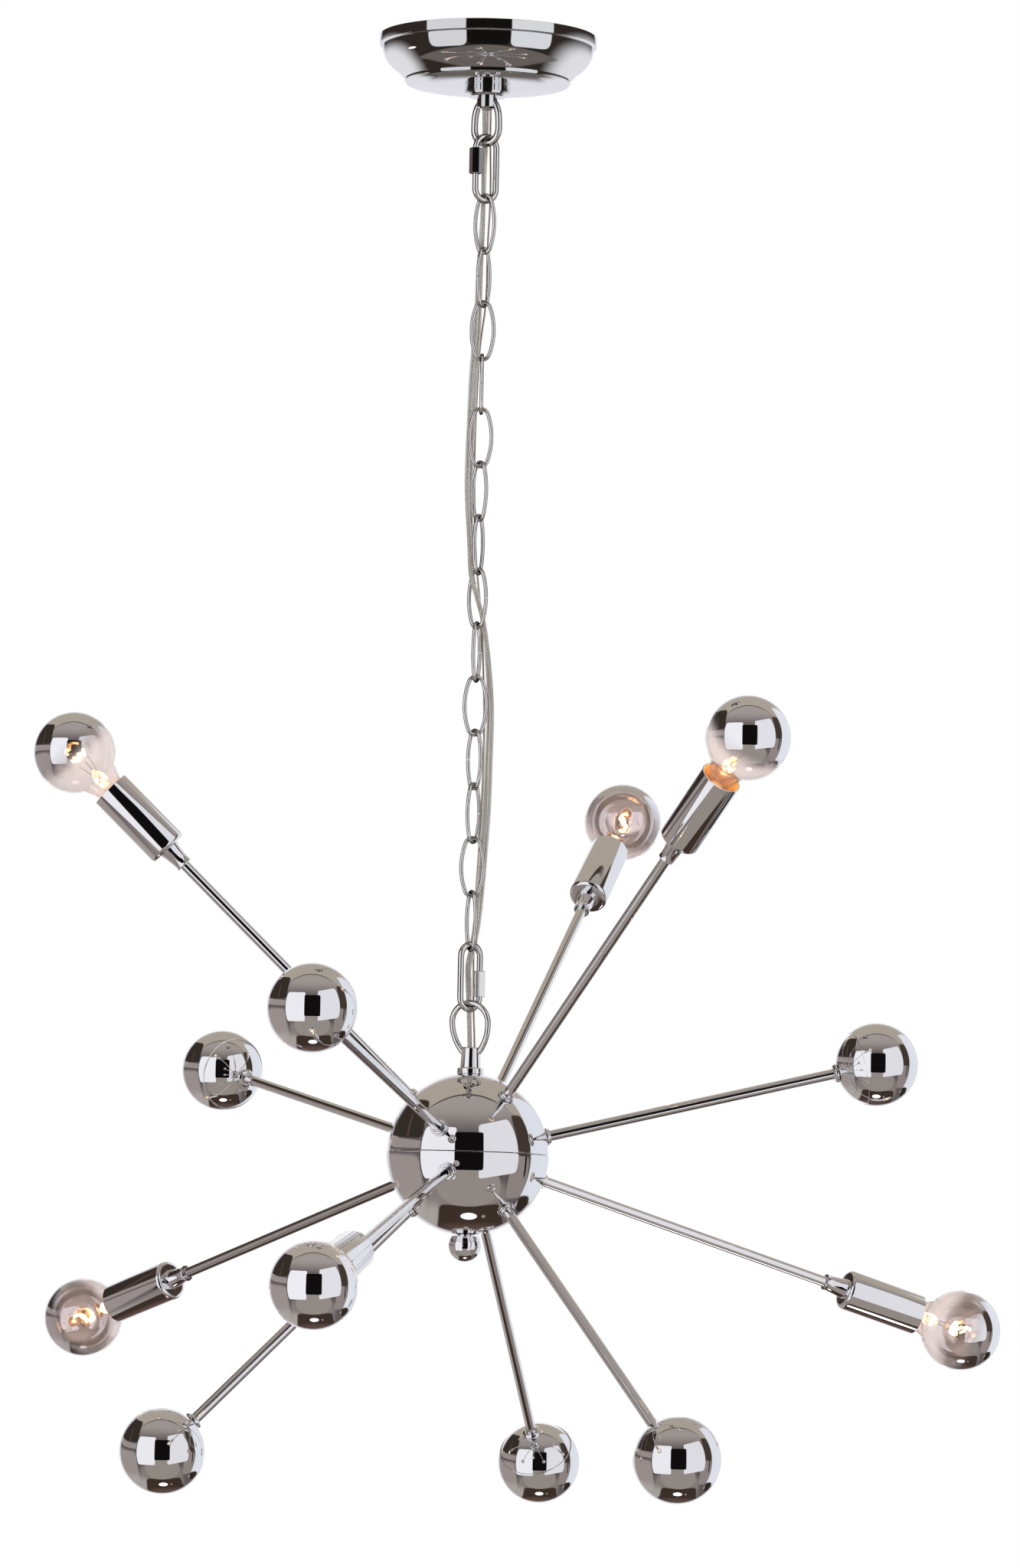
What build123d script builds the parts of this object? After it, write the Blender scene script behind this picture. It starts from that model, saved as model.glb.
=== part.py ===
"""Hanging light: canopy, chain with its cord, and a round hub with six lamps and six balls."""

import os
from math import asin, cos, degrees, pi, radians, sin, sqrt, tan

from build123d import *

os.makedirs("parts", exist_ok=True)

# Canopy and what hangs from its middle (mm, Z up, ceiling at Z = 0)
canopy_radius = 67.0
canopy_height = 30.0
canopy_wall = 1.2
canopy_hole_radius = 6.6
canopy_rim_depth = 5.9
# each arc of the bell: a point on it and its end, as (radius, height)
canopy_arcs = [
    [(66.2, -6.7), (65.3, -6.9)], [(62.6, -15.4), (57.0, -21.0)],
    [(53.9, -23.4), (51.9, -26.3)], [(51.3, -28.9), (49.4, -30.0)],
]
canopy_inner_start = (49.0, -28.8)
canopy_inner_arcs = [
    [(50.1, -28.2), (50.8, -25.9)], [(53.1, -22.5), (56.3, -20.0)],
    [(61.5, -14.8), (64.2, -6.9)],
]
bracket_length = 112.0
bracket_width = 19.0
bracket_thickness = 2.0
slot_spacing = 79.4
slot_length = 14.2
slot_width = 4.8
bracket_corner = 4.0
nipple_radius = 4.8
tube_bore_radius = 3.5
thread_play = 0.06
nipple_length = 34.0
nipple_chamfer = 0.5
nut_flats = 14.0
nut_height = 3.0
collar_radius = 14.2
collar_height = 7.7
collar_band = 4.9
collar_lip_radius = 11.0
collar_step = 0.5
collar_arc_middle = (12.9, -36.66)
flute_count = 30
flute_radius = 0.75
flute_offset = 0.25
flute_stop = 0.7
running_gap = 0.06
stem_radius = 6.3
stem_top = -24.0
stem_bottom = -45.2
stem_top_chamfer = 0.4
stem_chamfer = 1.2
loop_foot_half = 4.7
loop_foot = -40.7
loop_foot_slope = 1.1
loop_wire = 2.15
loop_half_width = 8.85
loop_bottom = -66.4
loop_turn = -33.0

# Quick links
link_gap = 0.2
quick_wire = 1.9
quick_end_radius = 7.35
quick_straight = 25.0
quick_split = 6.0
quick_split_start = 2.5
sleeve_flats = 7.0
sleeve_length = 16.0
sleeve_start = 0.2
upper_quick_turn = 31.0
lower_quick_turn = 38.0

# Chain: an oval of four arcs, split at the middle of one side
chain_wire = 1.2
chain_half_height = 17.85
chain_half_width = 6.8
chain_end_radius = 4.5
chain_split = 0.3
chain_turns = [-31, 58, 0, 90, 8, -53, 67, -40, 73, 10, -55, 58, 0, -67]
split_sides = [-1, -1, -1, -1, 1, -1, -1, 1, 1, 1, -1, 1, 1, 1]

# Hub, loop and finial
hub_radius = 50.0
upper_shell_radius = 49.6
hub_wall = 1.2
spigot_height = 2.5
spigot_play = 0.1
rod_hole_radius = 5.0
hub_x = 0.56
hub_y = -1.71
hub_drop = 92.5
hub_tilt_x = -3.0
hub_tilt_y = 0.7
rod_top = 55.0
rod_bottom = -53.5
rod_window_top = 40.0
rod_window_bottom = 8.0
flange_radius = 8.2
flange_height = 3.5
flange_sink = 1.0
flange_chamfer = 0.5
hub_stem_chamfer = 0.6
shell_play = 0.04
hub_stem_bottom_radius = 6.4
hub_stem_top_radius = 5.65
hub_stem_top = 65.3
hub_loop_wire = 1.75
hub_loop_foot = 62.0
hub_loop_foot_half = 5.2
hub_loop_half_width = 12.1
hub_loop_turn = -25.0
hub_loop_bow = 28.0
rod_play = 0.5
finial_radius = 10.0
finial_centre = -56.0
finial_top = -50.35
finial_neck = 3.0
finial_groove = 0.3
finial_groove_depth = 0.4
finial_bore_play = 1.0

# Arms
arm_radius = 3.25
arm_bore = 2.25
arm_start = 42.0
arm_hole_radius = 3.4
hub_end_collar_radius = 5.5
hub_end_ring_radius = 4.6
hub_end_collar_height = 1.1
hub_end_ring_foot = 1.2
hub_end_height = 2.6
arm_nut_flats = 10.0
arm_nut_low = -4.9
arm_nut_high = -1.9
lead_radius = 1.4
lead_start = 18.0
lead_reach = 4.0
ball_arm_reach = 4.0
ball_centre = 262.0
ball_radius = 26.0
ball_front_wall = 0.5
ball_rear_radius = 25.4
ball_rear_wall = 0.8
ball_rim = 250.3
ball_overlap = 2.5
ball_collar_radius = 5.8
ball_collar_neck = 4.6
ball_collar_edge = 1.0
ball_collar_height = 2.2
ferrule_start = 248.0
ferrule_lip_radius = 5.2
ferrule_waist_radius = 4.8
ferrule_waist = 1.8
ferrule_end_radius = 6.5
sleeve_base = 261.8
sleeve_mouth = 313.4
cup_radius = 12.5
cup_wall = 1.0
cup_edge = 2.6
lampholder_radius = 8.6
lampholder_start = 262.8
lampholder_end = 305.0
lamp_arm_end = 272.0
holder_bore = 6.05
bulb_base_radius = 5.98
bulb_base_start = 286.0
bulb_base_end = 308.0
contact_radius = 2.2
contact_edge_radius = 2.6
contact_height = 1.2
base_shoulder = 3.4
base_lip = 0.4
bulb_centre = 345.0
bulb_radius = 25.0
bulb_neck_radius = 7.2
bulb_neck_end = 311.0
bulb_wall = 0.9

# Arm directions: azimuth from the front towards the right, then elevation (degrees)
lamp_directions = [
    (-87.3, 43.7), (39.4, 44.5), (158.4, 41.5), (-14.4, -14.4), (108.5, -16.5), (228.5, -18.0),
]
ball_directions = [
    (-21.4, 16.3), (98.1, 14.2), (218.8, 12.2), (-73.3, -45.0), (42.2, -43.2), (163.4, -46.4),
]

# Cord and ground wire
cord_radius = 2.1
ground_radius = 0.6

# Heights that follow from the hanging order
upper_quick_top = loop_bottom + loop_wire + quick_wire + link_gap
quick_height = quick_straight + 2 * quick_end_radius
chain_top = upper_quick_top - quick_height + quick_wire + chain_wire + link_gap
chain_pitch = 2 * (chain_half_height - chain_wire) - link_gap
chain_bottom = chain_top - (len(chain_turns) - 1) * chain_pitch - 2 * chain_half_height
lower_quick_top = chain_bottom + chain_wire + quick_wire + link_gap
hub_loop_top = lower_quick_top - quick_height + quick_wire + hub_loop_wire + link_gap
hub_z = hub_loop_top - hub_drop

hub_frame = Location((hub_x, hub_y, hub_z), (hub_tilt_x, hub_tilt_y, 0))


def save(part, name):
    """Name a part and write it."""
    part.label = name
    export_step(part, f"parts/{name}.step")


def arm_frame(direction):
    """Frame of an arm: Z outwards from the middle of the hub, X level."""
    azimuth, elevation = direction
    turn = Location((0, 0, 0), (0, 0, azimuth)) * Location((0, 0, 0), (90 - elevation, 0, 0))
    return Plane(hub_frame * turn)


def section_plane(frame):
    """Plane through the Z axis of a frame, its Y along that axis."""
    return Plane(origin=frame.origin, x_dir=frame.x_dir, z_dir=-frame.y_dir)


def turned(outline, frames):
    """Bodies of revolution about the Z axis of each frame, from (radius, height) points."""
    with BuildPart() as piece:
        for frame in frames:
            with BuildSketch(section_plane(frame)):
                with BuildLine():
                    Polyline(outline, close=True)
                make_face()
            revolve(axis=Axis(frame.origin, frame.z_dir))
    return piece.part


def drop_frame(height, turn):
    """Upright plane on the drop line, its Y up; a positive turn brings its left side forwards."""
    side = Vector(cos(radians(turn)), sin(radians(turn)), 0)
    return Plane(origin=(0, 0, height), x_dir=side, z_dir=side.cross(Vector(0, 0, 1)))


def shell_cap(radius, wall, low, high, frames):
    """Bands of a hollow sphere about each frame's Z axis between two heights."""
    inner = radius - wall
    with BuildPart() as piece:
        for frame in frames:
            with BuildSketch(section_plane(frame)):
                with BuildLine():
                    start = (sqrt(radius**2 - low**2), low)
                    finish = (sqrt(radius**2 - high**2), high)
                    inner_finish = (sqrt(max(inner**2 - high**2, 0)), min(high, inner))
                    inner_start = (sqrt(inner**2 - low**2), low)
                    RadiusArc(start, finish, -radius)
                    Line(finish, inner_finish)
                    RadiusArc(inner_finish, inner_start, inner)
                    Line(inner_start, start)
                make_face()
            revolve(axis=Axis(frame.origin, frame.z_dir))
    return piece.part


def hex_prism(flats, low, high, bore, frames):
    """Hexagonal nuts along each frame's Z axis, bored through."""
    with BuildPart() as piece:
        for frame in frames:
            with BuildSketch(frame.offset(low)):
                RegularPolygon(flats / 2, 6, major_radius=False)
                Circle(bore, mode=Mode.SUBTRACT)
            extrude(amount=high - low)
    return piece.part


def quick_link(frame, leg, end):
    """Long link of round wire whose gap is on the leg and near the end that the signs name."""
    half = quick_straight / 2
    near = end * (half - quick_split_start)
    far = near - end * quick_split
    with BuildPart() as piece:
        with BuildLine(frame) as path:
            first = Line((leg * quick_end_radius, near), (leg * quick_end_radius, end * half))
            ThreePointArc(
                first @ 1,
                (0, end * (half + quick_end_radius)),
                (-leg * quick_end_radius, end * half),
            )
            Line((-leg * quick_end_radius, end * half), (-leg * quick_end_radius, -end * half))
            ThreePointArc(
                (-leg * quick_end_radius, -end * half),
                (0, -end * (half + quick_end_radius)),
                (leg * quick_end_radius, -end * half),
            )
            Line((leg * quick_end_radius, -end * half), (leg * quick_end_radius, far))
        with BuildSketch(Plane(origin=path.line @ 0, z_dir=path.line % 0)):
            RegularPolygon(quick_wire, 10)
        sweep(path=path.line)
    return piece.part


def link_sleeve(frame, leg, end):
    """Screw sleeve that covers the gap of a quick link."""
    base = frame.from_local_coords(Vector(leg * quick_end_radius, 0, 0))
    axis = Plane(origin=base, x_dir=frame.x_dir, z_dir=frame.y_dir)
    high = quick_straight / 2 - sleeve_start
    low = high - sleeve_length
    if end < 0:
        low, high = -high, -low
    return hex_prism(sleeve_flats, low, high, quick_wire + running_gap, [axis])


def chain_link(frame, side):
    """Oval link bent from wire, its butted ends at the middle of one side."""
    rise = chain_half_height - chain_end_radius
    run = chain_half_width - chain_end_radius
    side_radius = (rise**2 + run * (chain_half_width + chain_end_radius)) / (2 * run)
    half_side = degrees(asin(rise / (side_radius - chain_end_radius)))
    split_angle = degrees(chain_split / 2 / side_radius)
    turn_arc = 180 - 2 * half_side
    with BuildPart() as piece:
        with BuildLine(frame) as path:
            start = (side * chain_half_width, side * chain_split / 2)
            arc = JernArc(start, (0, side), side_radius, half_side - split_angle)
            for radius, angle in (
                (chain_end_radius, turn_arc),
                (side_radius, 2 * half_side),
                (chain_end_radius, turn_arc),
                (side_radius, half_side - split_angle),
            ):
                arc = JernArc(arc @ 1, arc % 1, radius, angle)
        with BuildSketch(Plane(origin=path.line @ 0, z_dir=path.line % 0)):
            RegularPolygon(chain_wire, 8)
        sweep(path=path.line)
    return piece.part


# Canopy and its fittings
ceiling = Plane.XY
with BuildPart() as canopy:
    with BuildSketch(section_plane(ceiling)):
        with BuildLine():
            lip = canopy_radius - canopy_wall
            ledge = canopy_wall - canopy_height
            Polyline((lip, 0), (canopy_radius, 0), (canopy_radius, -canopy_rim_depth))
            start = (canopy_radius, -canopy_rim_depth)
            for middle, end in canopy_arcs:
                ThreePointArc(start, middle, end)
                start = end
            Polyline(
                start, (canopy_hole_radius, -canopy_height), (canopy_hole_radius, ledge),
                canopy_inner_start,
            )
            start = canopy_inner_start
            for middle, end in canopy_inner_arcs:
                ThreePointArc(start, middle, end)
                start = end
            Polyline(start, (lip, -canopy_rim_depth), (lip, 0))
        make_face()
    revolve(axis=Axis.Z)
save(canopy.part, "canopy")

with BuildPart() as mounting_bracket:
    with BuildSketch(ceiling.offset(-bracket_thickness)):
        RectangleRounded(bracket_length, bracket_width, bracket_corner)
        Circle(nipple_radius + thread_play, mode=Mode.SUBTRACT)
        with Locations((slot_spacing / 2, 0), (-slot_spacing / 2, 0)):
            SlotOverall(slot_length, slot_width, mode=Mode.SUBTRACT)
    extrude(amount=bracket_thickness)
save(mounting_bracket.part, "mounting_bracket")

canopy_nipple = turned(
    [
        (tube_bore_radius, 0), (nipple_radius - nipple_chamfer, 0),
        (nipple_radius, -nipple_chamfer), (nipple_radius, nipple_chamfer - nipple_length),
        (nipple_radius - nipple_chamfer, -nipple_length),
        (tube_bore_radius, -nipple_length),
    ],
    [ceiling],
)
save(canopy_nipple, "canopy_nipple")

nut_seats = [ceiling.offset(-bracket_thickness - nut_height), ceiling.offset(stem_top)]
nipple_locknuts = hex_prism(nut_flats, 0, nut_height, nipple_radius + thread_play, nut_seats)
save(nipple_locknuts, "nipple_locknuts")

collar_top = -canopy_height - running_gap
with BuildPart() as screw_collar:
    with BuildSketch(section_plane(ceiling)):
        with BuildLine():
            bore = stem_radius + running_gap
            Polyline(
                (bore, collar_top),
                (collar_radius, collar_top),
                (collar_radius, collar_top - collar_band),
                (collar_radius - collar_step, collar_top - collar_band),
            )
            ThreePointArc(
                (collar_radius - collar_step, collar_top - collar_band),
                collar_arc_middle,
                (collar_lip_radius, collar_top - collar_height),
            )
            Polyline(
                (collar_lip_radius, collar_top - collar_height),
                (bore, collar_top - collar_height),
                (bore, collar_top),
            )
        make_face()
    revolve(axis=Axis.Z)
    with BuildSketch(ceiling.offset(collar_top - collar_band)):
        with PolarLocations(collar_radius + flute_offset, flute_count):
            RegularPolygon(flute_radius, 4)
    extrude(amount=collar_band - flute_stop, mode=Mode.SUBTRACT)
save(screw_collar.part, "screw_collar")

loop_frame = drop_frame(0, loop_turn)
with BuildPart() as canopy_loop:
    with BuildSketch(section_plane(ceiling)):
        with BuildLine():
            Polyline(
                (0, stem_top), (stem_radius - stem_top_chamfer, stem_top),
                (stem_radius, stem_top - stem_top_chamfer),
                (stem_radius, stem_bottom + stem_chamfer), (stem_radius - stem_chamfer, stem_bottom),
                (0, stem_bottom), close=True,
            )
        make_face()
    revolve(axis=Axis.Z)
    with BuildLine(loop_frame) as loop_path:
        Spline(
            (-loop_foot_half, loop_foot),
            (-loop_half_width, loop_bottom + loop_half_width),
            tangents=((-loop_foot_slope, -1), (0, -1)),
        )
        ThreePointArc(
            (-loop_half_width, loop_bottom + loop_half_width),
            (0, loop_bottom),
            (loop_half_width, loop_bottom + loop_half_width),
        )
        Spline(
            (loop_half_width, loop_bottom + loop_half_width),
            (loop_foot_half, loop_foot),
            tangents=((0, 1), (-loop_foot_slope, 1)),
        )
    with BuildSketch(Plane(origin=loop_path.line @ 0, z_dir=loop_path.line % 0)):
        Circle(loop_wire)
    sweep(path=loop_path.line)
    with Locations((0, 0, stem_top)):
        Hole(nipple_radius + thread_play, depth=nipple_length + stem_top)
    Hole(tube_bore_radius, depth=-stem_bottom + loop_wire)
save(canopy_loop.part, "canopy_loop")

# Quick links and chain
upper_quick_frame = drop_frame(upper_quick_top - quick_height / 2, upper_quick_turn)
lower_quick_frame = drop_frame(lower_quick_top - quick_height / 2, lower_quick_turn)
save(quick_link(upper_quick_frame, -1, 1), "upper_quick_link")
save(link_sleeve(upper_quick_frame, -1, 1), "upper_link_sleeve")
save(quick_link(lower_quick_frame, 1, -1), "lower_quick_link")
save(link_sleeve(lower_quick_frame, 1, -1), "lower_link_sleeve")

for number, (turn, side) in enumerate(zip(chain_turns, split_sides)):
    middle = chain_top - chain_half_height - number * chain_pitch
    save(chain_link(drop_frame(middle, turn), side), f"chain_link_{number + 1:02d}")

# Hub
hub = Plane(hub_frame)
lamp_frames = [arm_frame(direction) for direction in lamp_directions]
ball_frames = [arm_frame(direction) for direction in ball_directions]
arm_frames = lamp_frames + ball_frames
elevations = [direction[1] for direction in lamp_directions + ball_directions]

with BuildPart() as hub_upper_shell:
    with BuildSketch(section_plane(hub)):
        with BuildLine():
            spigot = hub_radius - hub_wall - spigot_play
            inner = upper_shell_radius - hub_wall
            low = (spigot, -spigot_height)
            RadiusArc((upper_shell_radius, 0), (0, upper_shell_radius), -upper_shell_radius)
            Line((0, upper_shell_radius), (0, inner))
            RadiusArc((0, inner), (inner, 0), inner)
            Polyline((inner, 0), (spigot - hub_wall, -spigot_height), low, (spigot, 0))
            Line((spigot, 0), (upper_shell_radius, 0))
        make_face()
    revolve(axis=Axis(hub.origin, hub.z_dir))
    for frame, elevation in zip(arm_frames, elevations):
        if elevation > 0:
            with BuildSketch(frame.offset(hub_radius / 2)):
                Circle(arm_hole_radius)
            extrude(amount=hub_radius, mode=Mode.SUBTRACT)
    with BuildSketch(hub):
        Circle(rod_hole_radius)
    extrude(amount=hub_radius + 1, mode=Mode.SUBTRACT)
save(hub_upper_shell.part, "hub_upper_shell")

with BuildPart() as hub_lower_shell:
    with BuildSketch(section_plane(hub)):
        with BuildLine():
            RadiusArc((hub_radius, 0), (0, -hub_radius), hub_radius)
            Line((0, -hub_radius), (0, hub_wall - hub_radius))
            RadiusArc((0, hub_wall - hub_radius), (hub_radius - hub_wall, 0), hub_wall - hub_radius)
            Line((hub_radius - hub_wall, 0), (hub_radius, 0))
        make_face()
    revolve(axis=Axis(hub.origin, hub.z_dir))
    for frame, elevation in zip(arm_frames, elevations):
        if elevation < 0:
            with BuildSketch(frame.offset(hub_radius / 2)):
                Circle(arm_hole_radius)
            extrude(amount=hub_radius, mode=Mode.SUBTRACT)
    with BuildSketch(hub):
        Circle(rod_hole_radius)
    extrude(amount=-hub_radius - 1, mode=Mode.SUBTRACT)
save(hub_lower_shell.part, "hub_lower_shell")

with BuildPart() as hub_rod:
    with BuildSketch(hub.offset(rod_bottom)):
        Circle(nipple_radius)
        Circle(tube_bore_radius, mode=Mode.SUBTRACT)
    extrude(amount=rod_top - rod_bottom)
    with BuildSketch(section_plane(hub)):
        with Locations((nipple_radius, (rod_window_top + rod_window_bottom) / 2)):
            Rectangle(2 * nipple_radius, rod_window_top - rod_window_bottom)
    extrude(amount=tube_bore_radius, both=True, mode=Mode.SUBTRACT)
save(hub_rod.part, "hub_rod")

ring_foot = hub.from_local_coords(Vector(0, 0, hub_loop_foot))
ring_rise = Vector(0, 0, hub_loop_top) - ring_foot
ring_side = Vector(cos(radians(hub_loop_turn)), sin(radians(hub_loop_turn)), 0)
ring_normal = ring_side.cross(ring_rise).normalized()
ring_frame = Plane(origin=ring_foot, x_dir=ring_rise.cross(ring_normal), z_dir=ring_normal)
ring_shoulder = ring_rise.length - hub_loop_half_width
with BuildPart() as hub_loop:
    with BuildSketch(section_plane(hub)):
        with BuildLine():
            seat = upper_shell_radius - flange_sink
            step = seat + flange_height + flange_chamfer
            Polyline(
                (0, seat), (flange_radius, seat), (flange_radius, seat + flange_height),
                (flange_radius - flange_chamfer, step),
                (hub_stem_bottom_radius, step),
                (hub_stem_top_radius, hub_stem_top - hub_stem_chamfer),
                (hub_stem_top_radius - hub_stem_chamfer, hub_stem_top), (0, hub_stem_top), close=True,
            )
        make_face()
    revolve(axis=Axis(hub.origin, hub.z_dir))
    with BuildLine(ring_frame) as ring_path:
        RadiusArc((-hub_loop_foot_half, 0), (-hub_loop_half_width, ring_shoulder), hub_loop_bow)
        ThreePointArc(
            (-hub_loop_half_width, ring_shoulder),
            (0, ring_rise.length),
            (hub_loop_half_width, ring_shoulder),
        )
        RadiusArc((hub_loop_half_width, ring_shoulder), (hub_loop_foot_half, 0), hub_loop_bow)
    with BuildSketch(Plane(origin=ring_path.line @ 0, z_dir=ring_path.line % 0)):
        Circle(hub_loop_wire)
    sweep(path=ring_path.line)
    with BuildSketch(hub):
        Circle(tube_bore_radius)
    extrude(amount=hub_stem_top + hub_loop_wire, mode=Mode.SUBTRACT)
    with BuildSketch(hub):
        Circle(nipple_radius + thread_play)
    extrude(amount=rod_top + rod_play, mode=Mode.SUBTRACT)
    with Locations(hub_frame):
        Sphere(upper_shell_radius + shell_play, mode=Mode.SUBTRACT)
save(hub_loop.part, "hub_loop")

with BuildPart() as finial:
    with BuildSketch(section_plane(hub)):
        with BuildLine():
            bore = nipple_radius + running_gap
            neck = finial_top - finial_neck
            top_rise = finial_top - finial_centre
            neck_rise = neck - finial_centre
            top_radius = sqrt(finial_radius**2 - top_rise**2)
            neck_radius = sqrt(finial_radius**2 - neck_rise**2)
            top = (top_radius, finial_top)
            groove = (neck_radius - finial_groove_depth, neck - finial_groove)
            below_rise = neck_rise - 2 * finial_groove
            below = (sqrt(finial_radius**2 - below_rise**2), neck - 2 * finial_groove)
            waist = finial_radius / sqrt(2)
            pole = (0, finial_centre - finial_radius)
            floor = rod_bottom - finial_bore_play
            Polyline((0, floor), (bore, floor), (bore, finial_top), top)
            Polyline(top, (neck_radius, neck), groove, below)
            ThreePointArc(below, (waist, finial_centre - waist), pole)
            Line(pole, (0, floor))
        make_face()
    revolve(axis=Axis(hub.origin, hub.z_dir))
save(finial.part, "finial")

hub_seats = [
    frame.offset(upper_shell_radius if elevation > 0 else hub_radius)
    for frame, elevation in zip(arm_frames, elevations)
]
bore = arm_radius + thread_play
hub_end_collars = turned(
    [
        (bore, 0), (hub_end_collar_radius, 0), (hub_end_collar_radius, hub_end_collar_height),
        (hub_end_ring_radius, hub_end_ring_foot), (hub_end_ring_radius, hub_end_height),
        (bore, hub_end_height),
    ],
    hub_seats,
)
save(hub_end_collars, "hub_end_collars")
arm_nuts = hex_prism(arm_nut_flats, arm_nut_low, arm_nut_high, bore, hub_seats)
save(arm_nuts, "arm_nuts")


lead_end = lampholder_start + lead_reach
tube = [(arm_bore, arm_start), (arm_radius, arm_start)]
tube += [(arm_radius, lamp_arm_end), (arm_bore, lamp_arm_end)]
save(turned(tube, lamp_frames), "lamp_arms")
lead = [(0, lead_start), (lead_radius, lead_start), (lead_radius, lead_end), (0, lead_end)]
save(turned(lead, lamp_frames), "lamp_leads")
ball_near = ball_centre - ball_rear_radius
ball_arm_end = ball_near + ball_arm_reach
rod = [(0, arm_start), (arm_radius, arm_start), (arm_radius, ball_arm_end), (0, ball_arm_end)]
save(turned(rod, ball_frames), "ball_arms")

# Ball ends
ball_seats = [frame.offset(ball_centre) for frame in ball_frames]
rim = ball_rim - ball_centre
save(shell_cap(ball_radius, ball_front_wall, rim, ball_radius, ball_seats), "ball_front_shells")

with BuildPart() as ball_rear_shells:
    for frame in ball_seats:
        rear_inner = ball_rear_radius - ball_rear_wall
        lap = rim + ball_overlap
        hole = sqrt(ball_rear_radius**2 - arm_hole_radius**2)
        inner_hole = sqrt(rear_inner**2 - arm_hole_radius**2)
        with BuildSketch(section_plane(frame)):
            with BuildLine():
                start = (arm_hole_radius, -hole)
                lip = (sqrt(ball_rear_radius**2 - lap**2), lap)
                inner_lip = (sqrt(rear_inner**2 - lap**2), lap)
                RadiusArc(start, lip, -ball_rear_radius)
                Line(lip, inner_lip)
                RadiusArc(inner_lip, (arm_hole_radius, -inner_hole), rear_inner)
                Line((arm_hole_radius, -inner_hole), start)
            make_face()
        revolve(axis=Axis(frame.origin, frame.z_dir))
save(ball_rear_shells.part, "ball_rear_shells")

ball_end_collars = turned(
    [
        (bore, -ball_rear_radius - ball_collar_height),
        (ball_collar_neck, -ball_rear_radius - ball_collar_height),
        (ball_collar_radius, ball_collar_edge - ball_rear_radius - ball_collar_height),
        (ball_collar_radius, 0.3 - ball_rear_radius),
        (bore, 0.1 - ball_rear_radius),
    ],
    ball_seats,
)
save(ball_end_collars, "ball_end_collars")

# Lamp ends
ferrules = turned(
    [
        (bore, ferrule_start), (ferrule_lip_radius, ferrule_start),
        (ferrule_waist_radius, ferrule_start + ferrule_waist),
        (ferrule_end_radius, sleeve_base), (bore, sleeve_base),
    ],
    lamp_frames,
)
save(ferrules, "ferrules")


def socket_sleeve(frame):
    """Round cup with a rounded base edge, open towards the bulb."""
    inner = cup_radius - cup_wall
    with BuildPart() as piece:
        with BuildSketch(section_plane(frame)):
            with BuildLine():
                Line((bore, sleeve_base), (cup_radius - cup_edge, sleeve_base))
                RadiusArc(
                    (cup_radius - cup_edge, sleeve_base),
                    (cup_radius, sleeve_base + cup_edge),
                    -cup_edge,
                )
                Polyline(
                    (cup_radius, sleeve_base + cup_edge), (cup_radius, sleeve_mouth),
                    (inner, sleeve_mouth), (inner, sleeve_base + cup_edge),
                )
                Polyline(
                    (inner, sleeve_base + cup_edge), (cup_radius - cup_edge, sleeve_base + cup_wall),
                    (bore, sleeve_base + cup_wall), (bore, sleeve_base),
                )
            make_face()
        revolve(axis=Axis(frame.origin, frame.z_dir))
    return piece.part


def bulb(frame):
    """Hollow glass envelope of a globe bulb, drawn in to a neck."""
    shoulder_radius = bulb_radius / 2
    shoulder = bulb_centre - sqrt(bulb_radius**2 - shoulder_radius**2)
    inner = bulb_radius - bulb_wall
    inner_shoulder = shoulder_radius - bulb_wall / 2
    inner_height = bulb_centre - sqrt(inner**2 - inner_shoulder**2)
    neck = bulb_neck_radius - bulb_wall
    with BuildPart() as piece:
        with BuildSketch(section_plane(frame)):
            with BuildLine():
                front = (0, bulb_centre + bulb_radius)
                inner_front = (0, bulb_centre + inner)
                ThreePointArc(front, (bulb_radius, bulb_centre), (shoulder_radius, shoulder))
                Line((shoulder_radius, shoulder), (bulb_neck_radius, bulb_neck_end))
                Line((bulb_neck_radius, bulb_neck_end), (bulb_base_radius - base_lip, bulb_base_end))
                Line((bulb_base_radius - base_lip, bulb_base_end), (neck - 1, bulb_base_end))
                Line((neck - 1, bulb_base_end), (neck, bulb_neck_end))
                Line((neck, bulb_neck_end), (inner_shoulder, inner_height))
                ThreePointArc((inner_shoulder, inner_height), (inner, bulb_centre), inner_front)
                Line(inner_front, front)
            make_face()
        revolve(axis=Axis(frame.origin, frame.z_dir))
    return piece.part


def bulb_base(frame):
    """Metal base of a bulb with its rounded contact."""
    return turned(
        [
            (0, bulb_base_start), (contact_radius, bulb_base_start),
            (contact_edge_radius, bulb_base_start + contact_height),
            (bulb_base_radius, bulb_base_start + base_shoulder), (bulb_base_radius, bulb_base_end),
            (0, bulb_base_end),
        ],
        [frame],
    )


for number, frame in enumerate(lamp_frames):
    save(socket_sleeve(frame), f"socket_sleeve_{number + 1}")
    save(bulb(frame), f"bulb_{number + 1}")
    save(bulb_base(frame), f"bulb_base_{number + 1}")

lampholders = turned(
    [
        (bore, lampholder_start), (lampholder_radius, lampholder_start),
        (lampholder_radius, lampholder_end), (holder_bore, lampholder_end),
        (holder_bore, bulb_base_start - 1), (bore, bulb_base_start - 1),
    ],
    lamp_frames,
)
save(lampholders, "lampholders")

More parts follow.
